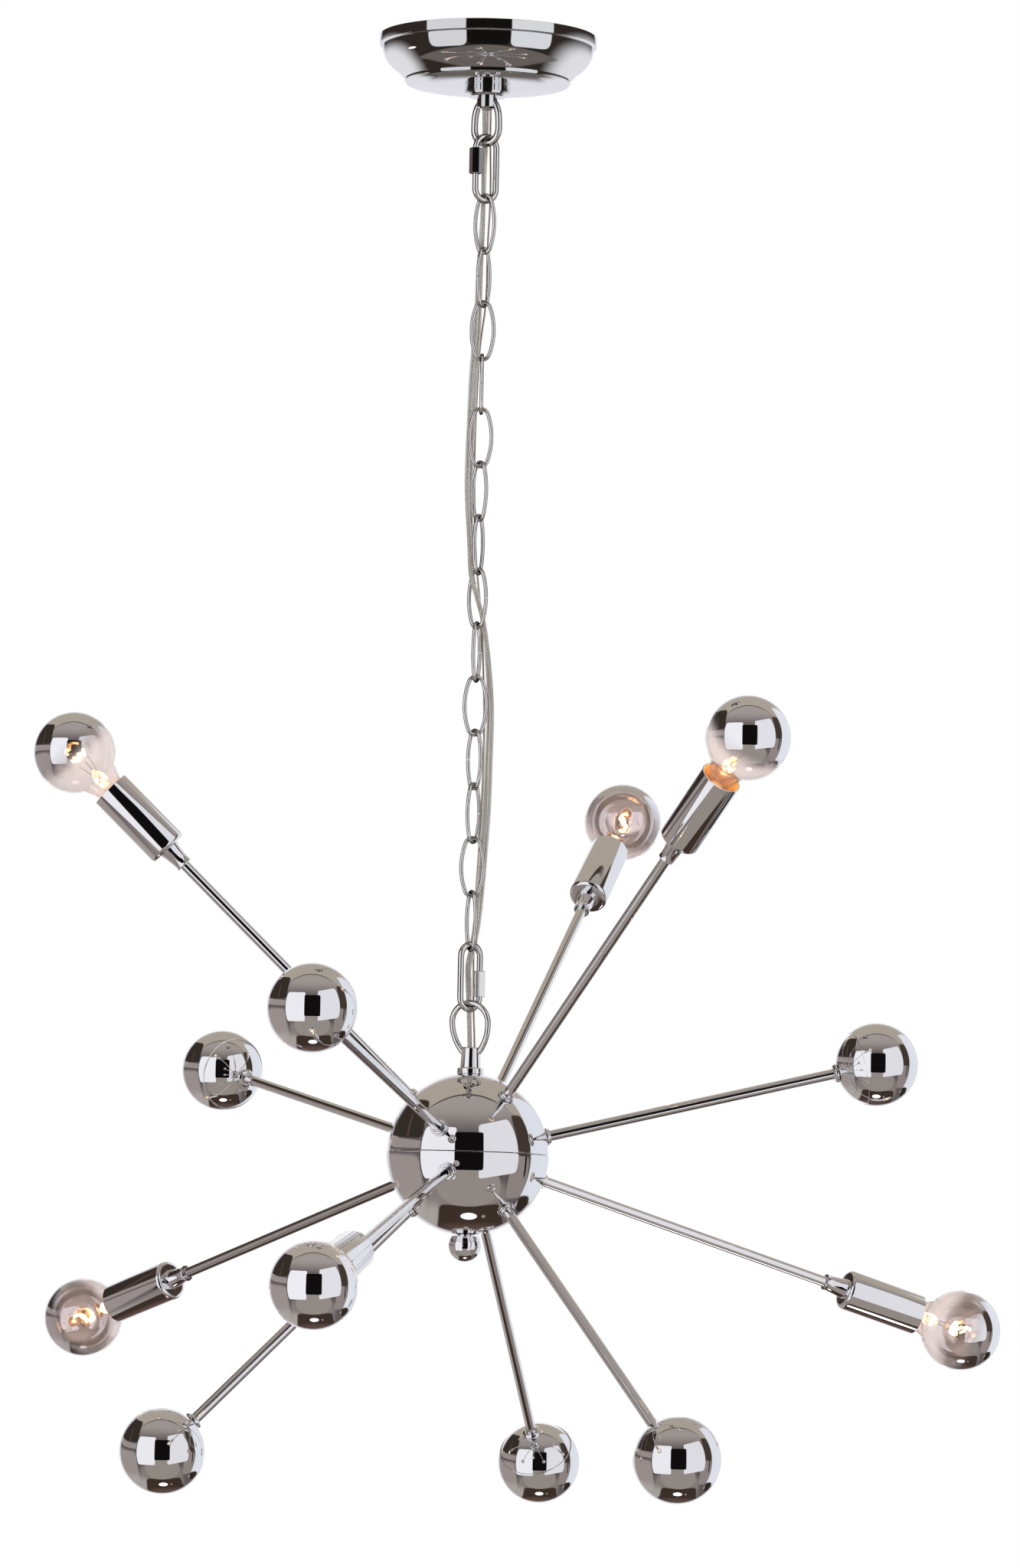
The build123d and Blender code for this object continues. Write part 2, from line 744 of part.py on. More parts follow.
# Cord and ground wire: straight runs through bores and links, joined by tangent arcs
cord_route = [
    (-0.6, 0.0, -1.0), (-0.5, 0.3, -15.0), (-0.7, -0.1, -30.1), (-0.7, 0.5, -47.5),
    (-0.5, 6.4, -61.7), (-1.1, 4.0, -85.7), (-1.2, 5.7, -112.7), (-2.8, 6.3, -147.2),
    (-3.1, 6.6, -177.2), (-5.3, 6.4, -208.7), (-5.7, 6.0, -229.7), (-6.8, 5.0, -264.2),
    (-6.9, 2.5, -282.2), (-4.8, -0.4, -315.2), (-4.2, -1.4, -334.7), (-0.7, -0.1, -345.2),
    (4.4, 5.8, -363.2), (6.7, 4.5, -381.2), (9.7, 5.5, -414.2), (8.8, 3.0, -448.7),
    (8.3, 3.1, -477.2), (6.4, 4.8, -510.2), (4.2, 5.0, -544.7), (1.3, 7.0, -563.2),
    (0.3, 2.3, -574.7), (-0.5, 1.8, -583.7), (-0.2, 5.8, -598.7), (0.7, 1.5, -627.7),
    (0.5, 0.4, -648.7), (2.2, -0.1, -659.7), (6.4, -0.4, -669.2), (12.3, 0.1, -675.3),
]
ground_route = [
    (2.4, 0.2, -1.0), (2.3, -0.1, -15.0), (2.4, 0.2, -28.6), (2.4, 0.6, -47.2),
    (2.4, 9.9, -62.7), (3.5, 8.7, -99.2), (1.8, 8.6, -132.2), (2.2, 8.6, -163.7),
    (-1.5, 8.6, -189.2), (-2.8, 8.7, -220.7), (-3.6, 8.6, -255.2), (-3.0, 8.7, -289.7),
    (-1.6, 8.8, -324.2), (2.5, 8.7, -355.7), (4.4, 8.7, -388.7), (5.8, 8.8, -423.2),
    (5.5, 8.8, -457.7), (4.6, 8.7, -492.2), (2.6, 8.8, -526.7), (1.8, 10.3, -561.2),
    (2.2, 9.0, -595.7), (3.8, 1.8, -626.1), (3.4, 1.0, -644.6), (4.3, 0.2, -654.2),
    (8.6, -1.1, -661.4), (14.0, -3.3, -666.0),
]


def bend_radii(route):
    """Radius of each bend, from its turn and the shorter run beside it."""
    points = [Vector(*point) for point in route]
    radii = []
    for before, corner, after in zip(points, points[1:], points[2:]):
        half_turn = radians((corner - before).get_angle(after - corner)) / 2
        shorter = min((corner - before).length, (after - corner).length)
        radii.append(0.45 * shorter / tan(half_turn))
    return radii


for name, route, radius in (
    ("supply_cord", cord_route, cord_radius),
    ("ground_wire", ground_route, ground_radius),
):
    radii = bend_radii(route)
    with BuildPart() as cord:
        with BuildLine() as path:
            FilletPolyline(*route, radius=radii)
        with BuildSketch(Plane(origin=path.line @ 0, z_dir=path.line % 0)):
            Circle(radius)
        sweep(path=path.line)
    save(cord.part, name)
    print(name, "length", round(path.wire().length, 1), "volume", round(cord.part.volume, 1))
    print("  section times length", round(path.wire().length * radius**2 * pi, 1))
    print("  bend radii", [round(bend) for bend in radii])
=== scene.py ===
# %% [markdown]
# # A chrome light with six lamps and six balls
# Every visible piece of this hanging light is either turned or drawn from wire.
# So two small helpers, a lathe and a wire bender, make nearly all of it.
# The fixed frame from the CAD model is loaded first, and each piece but the stretches of cord and earth wire
# rides on one of its bodies.

# %%
from math import acos, asin, atan2, cos, degrees, hypot, pi, radians, sin

import bmesh
import bpy
from mathutils import Euler, Matrix, Vector


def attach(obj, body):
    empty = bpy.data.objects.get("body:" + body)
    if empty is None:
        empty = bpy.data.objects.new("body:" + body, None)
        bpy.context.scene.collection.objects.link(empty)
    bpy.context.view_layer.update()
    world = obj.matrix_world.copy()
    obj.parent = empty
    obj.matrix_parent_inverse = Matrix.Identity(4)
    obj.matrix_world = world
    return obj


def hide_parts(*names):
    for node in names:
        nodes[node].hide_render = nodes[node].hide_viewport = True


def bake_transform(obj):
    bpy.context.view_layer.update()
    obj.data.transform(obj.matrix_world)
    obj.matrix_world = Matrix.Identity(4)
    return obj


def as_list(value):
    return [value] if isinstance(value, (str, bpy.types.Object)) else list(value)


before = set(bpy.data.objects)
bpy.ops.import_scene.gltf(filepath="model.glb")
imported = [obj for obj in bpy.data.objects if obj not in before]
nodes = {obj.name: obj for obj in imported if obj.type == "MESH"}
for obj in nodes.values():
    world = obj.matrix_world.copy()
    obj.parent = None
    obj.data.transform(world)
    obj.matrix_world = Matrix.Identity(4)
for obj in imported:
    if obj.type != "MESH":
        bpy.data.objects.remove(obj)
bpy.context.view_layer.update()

scene = bpy.context.scene

# %% [markdown]
# ## Sizes
# The same sizes as in the CAD model, in millimetres. `MM` turns them into metres.

# %%
MM = 0.001
HUB = Vector((0.56, -1.71, -689.6))
HUB_TURN = Euler((radians(-3.0), 0, 0)).to_matrix() @ Euler((0, radians(0.7), 0)).to_matrix()
LAMPS = [(-87.3, 43.7), (39.4, 44.5), (158.4, 41.5), (-14.4, -14.4), (108.5, -16.5), (228.5, -18.0)]
BALLS = [(-21.4, 16.3), (98.1, 14.2), (218.8, 12.2), (-73.3, -45.0), (42.2, -43.2), (163.4, -46.4)]
LINK_TURNS = [-31, 58, 0, 90, 8, -53, 67, -40, 73, 10, -55, 58, 0, -67]
SPLIT_SIDES = [-1, -1, -1, -1, 1, -1, -1, 1, 1, 1, -1, 1, 1, 1]
CHAIN_TOP = -98.55
CHAIN_PITCH = 33.1


# %% [markdown]
# ## The camera
# A long lens far away, a little below the canopy and above the hub, leaning by about one degree.

# %%
DISTANCE, RISE, FOCAL_PX, ROLL = 3.555, 0.074, 7557.0, radians(1.1)
HUB_Z = -0.6896
PICTURE_PX = (1332, 2048)
HUB_PX = (609.4, 1507)
SENSOR = 36.0
camera_data = bpy.data.cameras.new("camera")
camera_data.sensor_fit = "AUTO"
camera_data.sensor_width = SENSOR
camera_data.lens = SENSOR * FOCAL_PX / PICTURE_PX[1]
camera_data.clip_end = 30
camera = bpy.data.objects.new("camera", camera_data)
scene.collection.objects.link(camera)
scene.camera = camera


def across(ahead):
    """The camera's right and up for a direction of view, leaning by the roll."""
    side = ahead.cross(Vector((0, 0, 1))).normalized()
    up = side.cross(ahead).normalized()
    leaning = Matrix.Rotation(-ROLL, 3, ahead)
    return leaning @ side, leaning @ up


eye = Vector((0, -DISTANCE, HUB_Z + RISE))
to_hub = (Vector((0, 0, HUB_Z)) - eye).normalized()
right = (PICTURE_PX[0] / 2 - HUB_PX[0]) / FOCAL_PX
down = (HUB_PX[1] - PICTURE_PX[1] / 2) / FOCAL_PX
ahead = Vector((0, 1, 0))
for _ in range(30):
    # turn the view until the hub's middle falls on its pixel
    side, up = across(ahead)
    seen = Vector((to_hub.dot(side) / to_hub.dot(ahead), to_hub.dot(up) / to_hub.dot(ahead)))
    ahead = (ahead + side * (seen.x + right) + up * (seen.y + down)).normalized()
side, up = across(ahead)
view = Matrix((side, up, -ahead)).transposed()
camera.matrix_world = Matrix.Translation(eye) @ view.to_4x4()
print("camera looks", [round(c, 4) for c in ahead], "lens", round(camera_data.lens, 1), "mm")


# %% [markdown]
# ## Frames and outlines
# `place` gives the frame of an arm and `upright` a plane on the drop line.
# The outlines of turned pieces are lists of points, joined from arcs and eased at their corners.

# %%
def place(azimuth, elevation, along=0):
    """Frame of an arm: Z outwards along it, X level."""
    turn = HUB_TURN @ Matrix.Rotation(radians(azimuth), 3, "Z")
    turn = turn @ Matrix.Rotation(radians(90 - elevation), 3, "X")
    return Matrix.Translation(HUB) @ turn.to_4x4() @ Matrix.Translation((0, 0, along))


def upright(height, turn):
    """Plane on the drop line: X to the side, Y up."""
    side = Vector((cos(radians(turn)), sin(radians(turn)), 0))
    up = Vector((0, 0, 1))
    rows = Matrix((side, up, side.cross(up))).transposed()
    return Matrix.Translation((0, 0, height)) @ rows.to_4x4()


def arc(x, y, radius, start, finish, steps=12):
    """Points on an arc, angles in degrees."""
    turns = [radians(start + (finish - start) * i / steps) for i in range(steps + 1)]
    return [(x + radius * cos(t), y + radius * sin(t)) for t in turns]


def through(first, middle, last, steps=8):
    """Points on the arc through three points."""
    (ax, ay), (bx, by), (cx, cy) = first, middle, last
    d = 2 * (ax * (by - cy) + bx * (cy - ay) + cx * (ay - by))
    x = ((ax**2 + ay**2) * (by - cy) + (bx**2 + by**2) * (cy - ay) + (cx**2 + cy**2) * (ay - by)) / d
    y = ((ax**2 + ay**2) * (cx - bx) + (bx**2 + by**2) * (ax - cx) + (cx**2 + cy**2) * (bx - ax)) / d
    start = atan2(ay - y, ax - x)
    mid = (atan2(by - y, bx - x) - start) % (2 * pi)
    sweep = (atan2(cy - y, cx - x) - start) % (2 * pi)
    if mid > sweep:
        sweep -= 2 * pi
    radius = hypot(ax - x, ay - y)
    return arc(x, y, radius, degrees(start), degrees(start + sweep), steps)


def eased(points, size=0.25):
    """A closed outline with its corners rounded a little."""
    result = []
    count = len(points)
    for i, point in enumerate(points):
        here = Vector(point)
        before = Vector(points[i - 1]) - here
        after = Vector(points[(i + 1) % count]) - here
        turn = before.angle(-after) if before.length and after.length else 0
        if turn < radians(35) or here.x < 1e-6:
            result.append(tuple(here))
            continue
        reach = min(size, before.length / 3, after.length / 3)
        start = here + before.normalized() * reach
        end = here + after.normalized() * reach
        for t in (0, 0.25, 0.5, 0.75, 1):
            result.append(tuple(start * (1 - t) ** 2 + here * 2 * t * (1 - t) + end * t**2))
    return result


print("frames ready, hub at", [round(c, 1) for c in HUB])

# %% [markdown]
# ## Skins from outlines
# `lathe` spins an outline into a closed skin, and `rod` draws round wire along points.
# `spin` also stores each vertex's height in the attribute `along`, which some materials read.
# `keep` makes every piece ride on its body and hides the CAD node that it replaces.

# %%
def spin(shape, spot, outline, steps):
    """Add a closed outline of (radius, height) points, spun about Z, to a bmesh."""
    layer = shape.verts.layers.float.get("along") or shape.verts.layers.float.new("along")
    rings = []
    for radius, height in outline:
        around = 1 if radius < 1e-6 else steps
        ring = []
        for k in range(around):
            turn = 2 * pi * k / steps
            point = spot @ Vector((radius * cos(turn), radius * sin(turn), height))
            vertex = shape.verts.new(point * MM)
            vertex[layer] = height
            ring.append(vertex)
        rings.append(ring)
    for low, high in zip(rings, rings[1:] + rings[:1]):
        for k in range(steps):
            corners = [low[k % len(low)], low[(k + 1) % len(low)], high[(k + 1) % len(high)]]
            corners.append(high[k % len(high)])
            corners = list(dict.fromkeys(corners))
            if len(corners) > 2:
                shape.faces.new(corners)


def finished(shape, name, sharp=40):
    """Mesh of a bmesh, with outward normals and smooth faces."""
    bmesh.ops.recalc_face_normals(shape, faces=shape.faces)
    mesh = bpy.data.meshes.new(name)
    shape.to_mesh(mesh)
    shape.free()
    mesh.shade_smooth()
    mesh.set_sharp_from_angle(angle=radians(sharp))
    return mesh


def linked(name, mesh, *materials):
    """New object in the scene, with its materials."""
    made = bpy.data.objects.new(name, mesh)
    scene.collection.objects.link(made)
    for one in materials:
        made.data.materials.append(one)
    return made


def keep(mesh, name, body, material, replaced=()):
    """Turn a mesh into a piece that rides on a body."""
    piece = linked(name, mesh, *(material if isinstance(material, tuple) else [material]))
    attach(piece, body)
    if replaced:
        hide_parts(*replaced)
    return piece


def lathe(name, spots, outline, body, material, replaced=(), steps=64):
    """One piece with the same closed outline spun in each frame."""
    shape = bmesh.new()
    for spot in spots:
        spin(shape, spot, outline, steps)
    return keep(finished(shape, name), name, body, material, replaced)


def framed(points, normal):
    """Each point of a line, with two directions across it that turn as little as they can."""
    side = Vector(normal)
    for i, point in enumerate(points):
        ahead = points[min(i + 1, len(points) - 1)] - points[max(i - 1, 0)]
        ahead.normalize()
        side = (side - ahead * side.dot(ahead)).normalized()
        yield point, side, ahead.cross(side)


def tube(shape, points, outline, normal, twist=()):
    """Sweep an outline of (x, y) offsets along points in metres, with a cap at each end."""
    rings = []
    for i, (point, side, over) in enumerate(framed(points, normal)):
        turn = twist[i] if twist else 0
        ring = []
        for x, y in outline:
            u = x * cos(turn) - y * sin(turn)
            v = x * sin(turn) + y * cos(turn)
            ring.append(shape.verts.new(point + side * u + over * v))
        rings.append(ring)
    for low, high in zip(rings, rings[1:]):
        for k in range(len(outline)):
            j = (k + 1) % len(outline)
            shape.faces.new((low[k], low[j], high[j], high[k]))
    shape.faces.new(rings[0][::-1])
    shape.faces.new(rings[-1])


def circle(radius, sides=12):
    """Outline of a round rod."""
    return [(radius * cos(2 * pi * k / sides), radius * sin(2 * pi * k / sides)) for k in range(sides)]


def rod(name, spot, paths, radius, body, material, replaced=(), sides=12, normal=None):
    """One piece of round wire along paths of (x, y) or (x, y, z) points in a frame."""
    shape = bmesh.new()
    for path in paths:
        points = [(spot @ Vector((*point, 0)[:3])) * MM for point in path]
        tube(shape, points, circle(radius * MM, sides), normal or spot.col[2][:3])
    return keep(finished(shape, name, 60), name, body, material, replaced)


print("lathe, tube and rod ready")

# %% [markdown]
# ## Node helpers
# A few short functions keep the materials readable.
# `feed` fills the inputs of a node with values or links. The others add one node and return its output.

# %%
GLASS_IOR = 1.46
WHITE = (1, 1, 1, 1)


def feed(tree, made, links):
    """Fill inputs of a node, each with a value or with the output of another node."""
    for label, value in links:
        socket = made.inputs[label]
        if isinstance(value, bpy.types.NodeSocket):
            tree.links.new(value, socket)
        else:
            socket.default_value = value


def node(tree, kind, links=(), **settings):
    """Add a node, set its properties and feed its inputs."""
    made = tree.nodes.new(kind)
    for label, value in settings.items():
        setattr(made, label, value)
    feed(tree, made, links)
    return made


def maths(tree, operation, *values):
    """Result of a Math node."""
    return node(tree, "ShaderNodeMath", enumerate(values), operation=operation).outputs[0]


def vectors(tree, operation, *values):
    """Result of a Vector Math node, a number for lengths and dot products."""
    made = node(tree, "ShaderNodeVectorMath", enumerate(values), operation=operation)
    return made.outputs["Value" if operation in ("LENGTH", "DOT_PRODUCT") else "Vector"]


def parted(tree, vector):
    """The X, Y and Z of a vector."""
    return node(tree, "ShaderNodeSeparateXYZ", [(0, vector)]).outputs


def ranged(tree, value, low=0.0, high=1.0, to_low=0.0, to_high=1.0, how="LINEAR"):
    """A value carried from one range to another."""
    links = [("Value", value), ("From Min", low), ("From Max", high), ("To Min", to_low), ("To Max", to_high)]
    return node(tree, "ShaderNodeMapRange", links, interpolation_type=how).outputs["Result"]


def mixed(tree, share, first, second, how="MIX"):
    """A colour between two colours."""
    links = [("Factor", share), (6, first), (7, second)]
    return node(tree, "ShaderNodeMix", links, data_type="RGBA", blend_type=how).outputs[2]


def noise(tree, where, scale, detail=2):
    """Cloudy noise around a half."""
    links = [("Vector", where), ("Scale", scale), ("Detail", detail)]
    return node(tree, "ShaderNodeTexNoise", links).outputs["Fac"]


def bumped(tree, height, strength, distance):
    """A normal that follows a height."""
    links = [("Strength", strength), ("Distance", distance), ("Height", height)]
    return node(tree, "ShaderNodeBump", links).outputs["Normal"]


def object_place(tree):
    """Place on the object."""
    return node(tree, "ShaderNodeTexCoord").outputs["Object"]


def height_along(tree):
    """Height along the arm, in millimetres, that `spin` stored."""
    return node(tree, "ShaderNodeAttribute", attribute_name="along").outputs["Fac"]


def either(tree, share, first, second):
    """A shader between two shaders."""
    return node(tree, "ShaderNodeMixShader", [("Fac", share), (1, first), (2, second)]).outputs[0]


def show(tree, surface):
    """Make a shader the surface of its material."""
    feed(tree, tree.nodes["Material Output"], [("Surface", surface)])


def group_of(name, inputs, outputs):
    """Empty node group with named sockets."""
    group = bpy.data.node_groups.new(name, "ShaderNodeTree")
    for label, kind, value in inputs:
        socket = group.interface.new_socket(label, in_out="INPUT", socket_type=kind)
        socket.default_value = value
    for label, kind in outputs:
        group.interface.new_socket(label, in_out="OUTPUT", socket_type=kind)
    return group, group.nodes.new("NodeGroupInput"), group.nodes.new("NodeGroupOutput")


def material(name):
    """New material, its node tree and its Principled shader."""
    made = bpy.data.materials.new(name)
    made.use_nodes = True
    return made, made.node_tree, made.node_tree.nodes["Principled BSDF"]


print("node helpers ready")

# %% [markdown]
# ## Metals
# Chrome is almost only reflection, so what makes it look real is what it mirrors and
# how its gloss changes a little from place to place.
# One node group gives that slow change and every polished material uses it.

# %%
def wear_group():
    """Slow gloss change, fine grain and a faint bump height."""
    group, entry, leave = group_of(
        "wear",
        [("Vector", "NodeSocketVector", (0, 0, 0)), ("Low", "NodeSocketFloat", 0.03),
         ("High", "NodeSocketFloat", 0.09)],
        [("Roughness", "NodeSocketFloat"), ("Tint", "NodeSocketFloat"), ("Height", "NodeSocketFloat")],
    )
    where = entry.outputs["Vector"]
    smudge, grain, wave = noise(group, where, 22, 5), noise(group, where, 900, 2), noise(group, where, 14, 1)
    spread = ranged(
        group, smudge, 0.42, 0.72, entry.outputs["Low"], entry.outputs["High"], how="SMOOTHSTEP",
    )
    feed(group, leave, [
        ("Roughness", maths(group, "MULTIPLY_ADD", grain, 0.006, spread)),
        ("Tint", ranged(group, wave, to_low=0.94)),
        ("Height", wave),
    ])
    return group


WEAR = wear_group()


def metal(name, colour, low, high, bump=0.02):
    """Metal with slowly changing gloss, tint and surface."""
    made, tree, shader = material(name)
    wear = node(
        tree, "ShaderNodeGroup", [("Vector", object_place(tree)), ("Low", low), ("High", high)],
        node_tree=WEAR,
    ).outputs
    feed(tree, shader, [
        ("Metallic", 1.0),
        ("Base Color", mixed(tree, 1.0, (*colour, 1), wear["Tint"], "MULTIPLY")),
        ("Roughness", wear["Roughness"]),
        ("Normal", bumped(tree, wear["Height"], bump, 0.0004)),
    ])
    return made


def with_painted_edge_shade(made, shade_depth):
    """Paint shade into a metal's colour where its surface turns away from the eye, as thin plated wire looks
    dark at its edges.
    """
    tree = made.node_tree
    shader = tree.nodes["Principled BSDF"]
    colour = shader.inputs["Base Color"].links[0].from_socket
    turning = node(tree, "ShaderNodeLayerWeight", [("Blend", 0.35)])
    away = ranged(tree, turning.outputs["Facing"], 0.14, 0.55, to_high=shade_depth, how="SMOOTHSTEP")
    # painted shade: a near-black colour mixed into the metal at grazing angles, and a dark edge tint on its
    # reflection
    feed(tree, shader, [
        ("Base Color", mixed(tree, away, colour, (0.05, 0.045, 0.045, 1))),
        ("Specular Tint", (0.16, 0.15, 0.15, 1)),
    ])
    return made


chrome = metal("chrome", (0.86, 0.86, 0.875), 0.012, 0.05)
link_steel = metal("bright zinc", (0.80, 0.80, 0.80), 0.12, 0.24, 0.1)
brass = metal("brass", (0.78, 0.57, 0.28), 0.12, 0.28, 0.1)
conductor = metal("conductor", (0.86, 0.82, 0.74), 0.25, 0.4, 0.1)
bare_wire = metal("bare earth wire", (0.62, 0.53, 0.44), 0.25, 0.4, 0.1)
tungsten = metal("support wire", (0.18, 0.17, 0.16), 0.25, 0.4, 0.1)
# plating for the chain, the quick links and the wire rings, with shade painted dark at their edges
chain_plating_and_edge_shade = with_painted_edge_shade(metal("chain plating and painted edge shade", (0.84, 0.83, 0.825), 0.03, 0.08, 0.03), 0.97)
link_plating_and_edge_shade = with_painted_edge_shade(metal("quick link plating and painted edge shade", (0.84, 0.83, 0.82), 0.03, 0.08, 0.03), 0.95)
print(len(bpy.data.materials), "materials so far")

# %% [markdown]
# ## Insulation, glaze and glass
# The globes are one glass: clear round the filament, and mirrored towards their tip.
# The attribute `along` tells where one goes over into the other.

# %%
def plastic(name, colour, rough, see_through=0.0):
    """Smooth plastic or glaze with a slight mottle."""
    made, tree, shader = material(name)
    mottle = noise(tree, object_place(tree), 120, 4)
    darker = (*(0.86 * c for c in colour), 1)
    feed(tree, shader, [
        ("Base Color", mixed(tree, mottle, darker, (*colour, 1))),
        ("Roughness", ranged(tree, mottle, to_low=rough * 0.7, to_high=rough * 1.3)),
        ("Normal", bumped(tree, mottle, 0.06, 0.0003)),
        ("Transmission Weight", see_through), ("IOR", GLASS_IOR),
    ])
    return made


def bulb_glass():
    """Clear glass whose front is mirrored, with a soft edge between."""
    made, tree, shader = material("half-mirrored glass")
    cloud = noise(tree, object_place(tree), 45, 2)
    edge = maths(tree, "MULTIPLY_ADD", cloud, 1.0, height_along(tree))
    mask = ranged(tree, edge, 337.0, 354.0, how="SMOOTHERSTEP")
    feed(tree, shader, [
        ("Base Color", (1.0, 0.975, 0.985, 1)), ("Roughness", ranged(tree, cloud, to_high=0.02)),
        ("Transmission Weight", 1.0), ("IOR", GLASS_IOR),
    ])
    milk = node(tree, "ShaderNodeBsdfDiffuse", [("Color", (1.0, 0.96, 0.97, 1)), ("Roughness", 0.3)])
    film = node(
        tree, "ShaderNodeBsdfPrincipled",
        [("Base Color", (0.86, 0.86, 0.88, 1)), ("Metallic", 1.0), ("Roughness", 0.015)],
    )
    haze = ranged(tree, cloud, to_low=0.08, to_high=0.16)
    veiled = either(tree, haze, shader.outputs["BSDF"], milk.outputs["BSDF"])
    show(tree, either(tree, mask, veiled, film.outputs["BSDF"]))
    return made


clear_cord = plastic("clear insulation", (0.98, 0.97, 0.94), 0.14, 0.66)
lead_white = plastic("lead insulation", (0.85, 0.84, 0.80), 0.35)
ceramic = plastic("lampholder glaze", (0.88, 0.86, 0.82), 0.25)
glass = bulb_glass()
print(len(bpy.data.materials), "materials so far")

# %% [markdown]
# ## Things that give light
# The filaments glow. The cups and the glass stems near them carry a warm glow of their own,
# because so little of a thin wire's light would reach them in a short render.

# %%
def glow(name, colour, strength):
    """Light-giving surface, a little uneven along its length."""
    made, tree, shader = material(name)
    flicker = noise(tree, object_place(tree), 300)
    power = ranged(tree, flicker, to_low=strength * 0.7, to_high=strength * 1.3)
    # matt surfaces get only little of it, or they would sparkle
    path = node(tree, "ShaderNodeLightPath")
    calmed = ranged(tree, path.outputs["Is Diffuse Ray"], to_low=1.0, to_high=0.06)
    feed(tree, shader, [
        ("Base Color", (*colour, 1)), ("Emission Color", (*colour, 1)),
        ("Emission Strength", maths(tree, "MULTIPLY", power, calmed)),
    ])
    return made


def lit_inside():
    """Inner wall of a cup, warm with the bulb's light towards its mouth."""
    made = metal("lit inner wall", (0.95, 0.62, 0.36), 0.10, 0.22)
    tree = made.node_tree
    rise = ranged(tree, height_along(tree), 296.0, 313.0, to_high=0.62, how="SMOOTHSTEP")
    feed(tree, tree.nodes["Principled BSDF"], [
        ("Emission Color", (1.0, 0.42, 0.12, 1)), ("Emission Strength", rise),
    ])
    return made


def lit_glass():
    """Clear stem that glows warm towards the filament."""
    made, tree, shader = material("lit glass stem")
    flaw = noise(tree, object_place(tree), 420, 3)
    rise = ranged(tree, height_along(tree), 315.0, 324.0, to_high=6.0, how="SMOOTHSTEP")
    spots = ranged(tree, flaw, 0.45, 0.62, how="SMOOTHSTEP")
    feed(tree, shader, [
        ("Base Color", (1.0, 0.93, 0.88, 1)), ("Transmission Weight", 0.92), ("Roughness", 0.12),
        ("IOR", GLASS_IOR), ("Emission Color", (1.0, 0.55, 0.22, 1)),
        ("Emission Strength", maths(tree, "MULTIPLY", rise, spots)),
        ("Normal", bumped(tree, flaw, 0.5, 0.0005)),
    ])
    return made


lit_chrome = lit_inside()
filament_glow = glow("filament", (1.0, 0.50, 0.16), 60.0)
stem_glass = lit_glass()
print(len(bpy.data.materials), "materials")

# %% [markdown]
# ## Cord and ground wire
# The route is drawn as a smooth NURBS curve through the control points of the CAD route.
# A mesh tube follows points read from that curve, in one stretch for each joint of the drop.

# %%
CORD_ROUTE = [
    (-0.6, 0, -1), (-0.5, 0.3, -15), (-0.7, -0.1, -30.1), (-0.7, 0.5, -47.5), (-0.5, 6.4, -61.7),
    (-1.1, 4.0, -85.7), (-1.2, 5.7, -112.7), (-2.8, 6.3, -147.2), (-3.1, 6.6, -177.2),
    (-5.3, 6.4, -208.7), (-5.7, 6.0, -229.7), (-6.8, 5.0, -264.2), (-6.9, 2.5, -282.2),
    (-4.8, -0.4, -315.2), (-4.2, -1.4, -334.7), (-0.7, -0.1, -345.2), (4.4, 5.8, -363.2),
    (6.7, 4.5, -381.2), (9.7, 5.5, -414.2), (8.8, 3.0, -448.7), (8.3, 3.1, -477.2),
    (6.4, 4.8, -510.2), (4.2, 5.0, -544.7), (1.3, 7.7, -563.2), (-1.4, 3.6, -574.7),
    (-0.9, 1.8, -583.7), (-0.2, 7.2, -598.7), (0.7, 1.5, -627.7), (0.5, 0.4, -648.7),
    (2.2, -0.1, -659.7), (6.4, -0.4, -669.2), (12.3, 0.1, -675.3),
]
GROUND_ROUTE = [
    (2.4, 0.2, -1), (2.3, -0.1, -15), (2.4, 0.2, -28.6), (2.4, 0.6, -47.2), (2.4, 9.9, -62.7),
    (3.5, 8.7, -99.2), (1.8, 8.6, -132.2), (2.2, 8.6, -163.7), (-1.5, 8.6, -189.2),
    (-2.8, 8.7, -220.7), (-3.6, 8.6, -255.2), (-3.0, 8.7, -289.7), (-1.6, 8.8, -324.2),
    (2.5, 8.7, -355.7), (4.4, 8.7, -388.7), (5.8, 8.8, -423.2), (5.5, 8.8, -457.7),
    (4.6, 8.7, -492.2), (2.6, 8.8, -526.7), (1.8, 10.3, -561.2), (2.2, 9.0, -595.7),
    (3.8, 1.8, -626.1), (3.4, 1.0, -644.6), (4.3, 0.2, -654.2), (8.6, -1.1, -661.4),
    (14.0, -3.3, -666.0),
]
LINK_MIDDLES = [CHAIN_TOP - 17.85 - CHAIN_PITCH * i for i in range(14)]
UPPER_QUICK, LOWER_QUICK = -82.0, -581.1
# a line is cut at the middle of each link, so each stretch spans the place where one link rests in the next
CUTS = [UPPER_QUICK] + LINK_MIDDLES + [LOWER_QUICK]
HOLDERS = ["canopy_group", "upper_quick_link"] + [f"chain_link_{i + 1:02d}" for i in range(14)]
HOLDERS += ["lower_quick_link", "hub_group"]

# %% [markdown]
# ## Lines that hang
# Blender draws the NURBS curve, its points are read back, and the line is cut at the middle of each link.

# %%
def along_nurbs(name, route):
    """Points every two millimetres of a smooth NURBS through the route's control points."""
    curve = bpy.data.curves.new(name, "CURVE")
    curve.dimensions = "3D"
    curve.resolution_u = 12
    spline = curve.splines.new("NURBS")
    spline.points.add(len(route) - 1)
    for point, spot in zip(spline.points, route):
        point.co = (*(MM * c for c in spot), 1)
    spline.order_u = 3
    spline.use_endpoint_u = True
    holder = bpy.data.objects.new(name, curve)
    drawn = bpy.data.meshes.new_from_object(holder)
    points = [v.co.copy() for v in drawn.vertices]
    bpy.data.objects.remove(holder)
    bpy.data.curves.remove(curve)
    bpy.data.meshes.remove(drawn)
    return points


def at_height(points, height):
    """The point of a falling line at one height, and the index after it."""
    for i, (high, low) in enumerate(zip(points, points[1:])):
        if high.z >= height > low.z:
            t = (high.z - height) / (high.z - low.z)
            return high.lerp(low, t), i + 1
    raise ValueError("no point at that height")


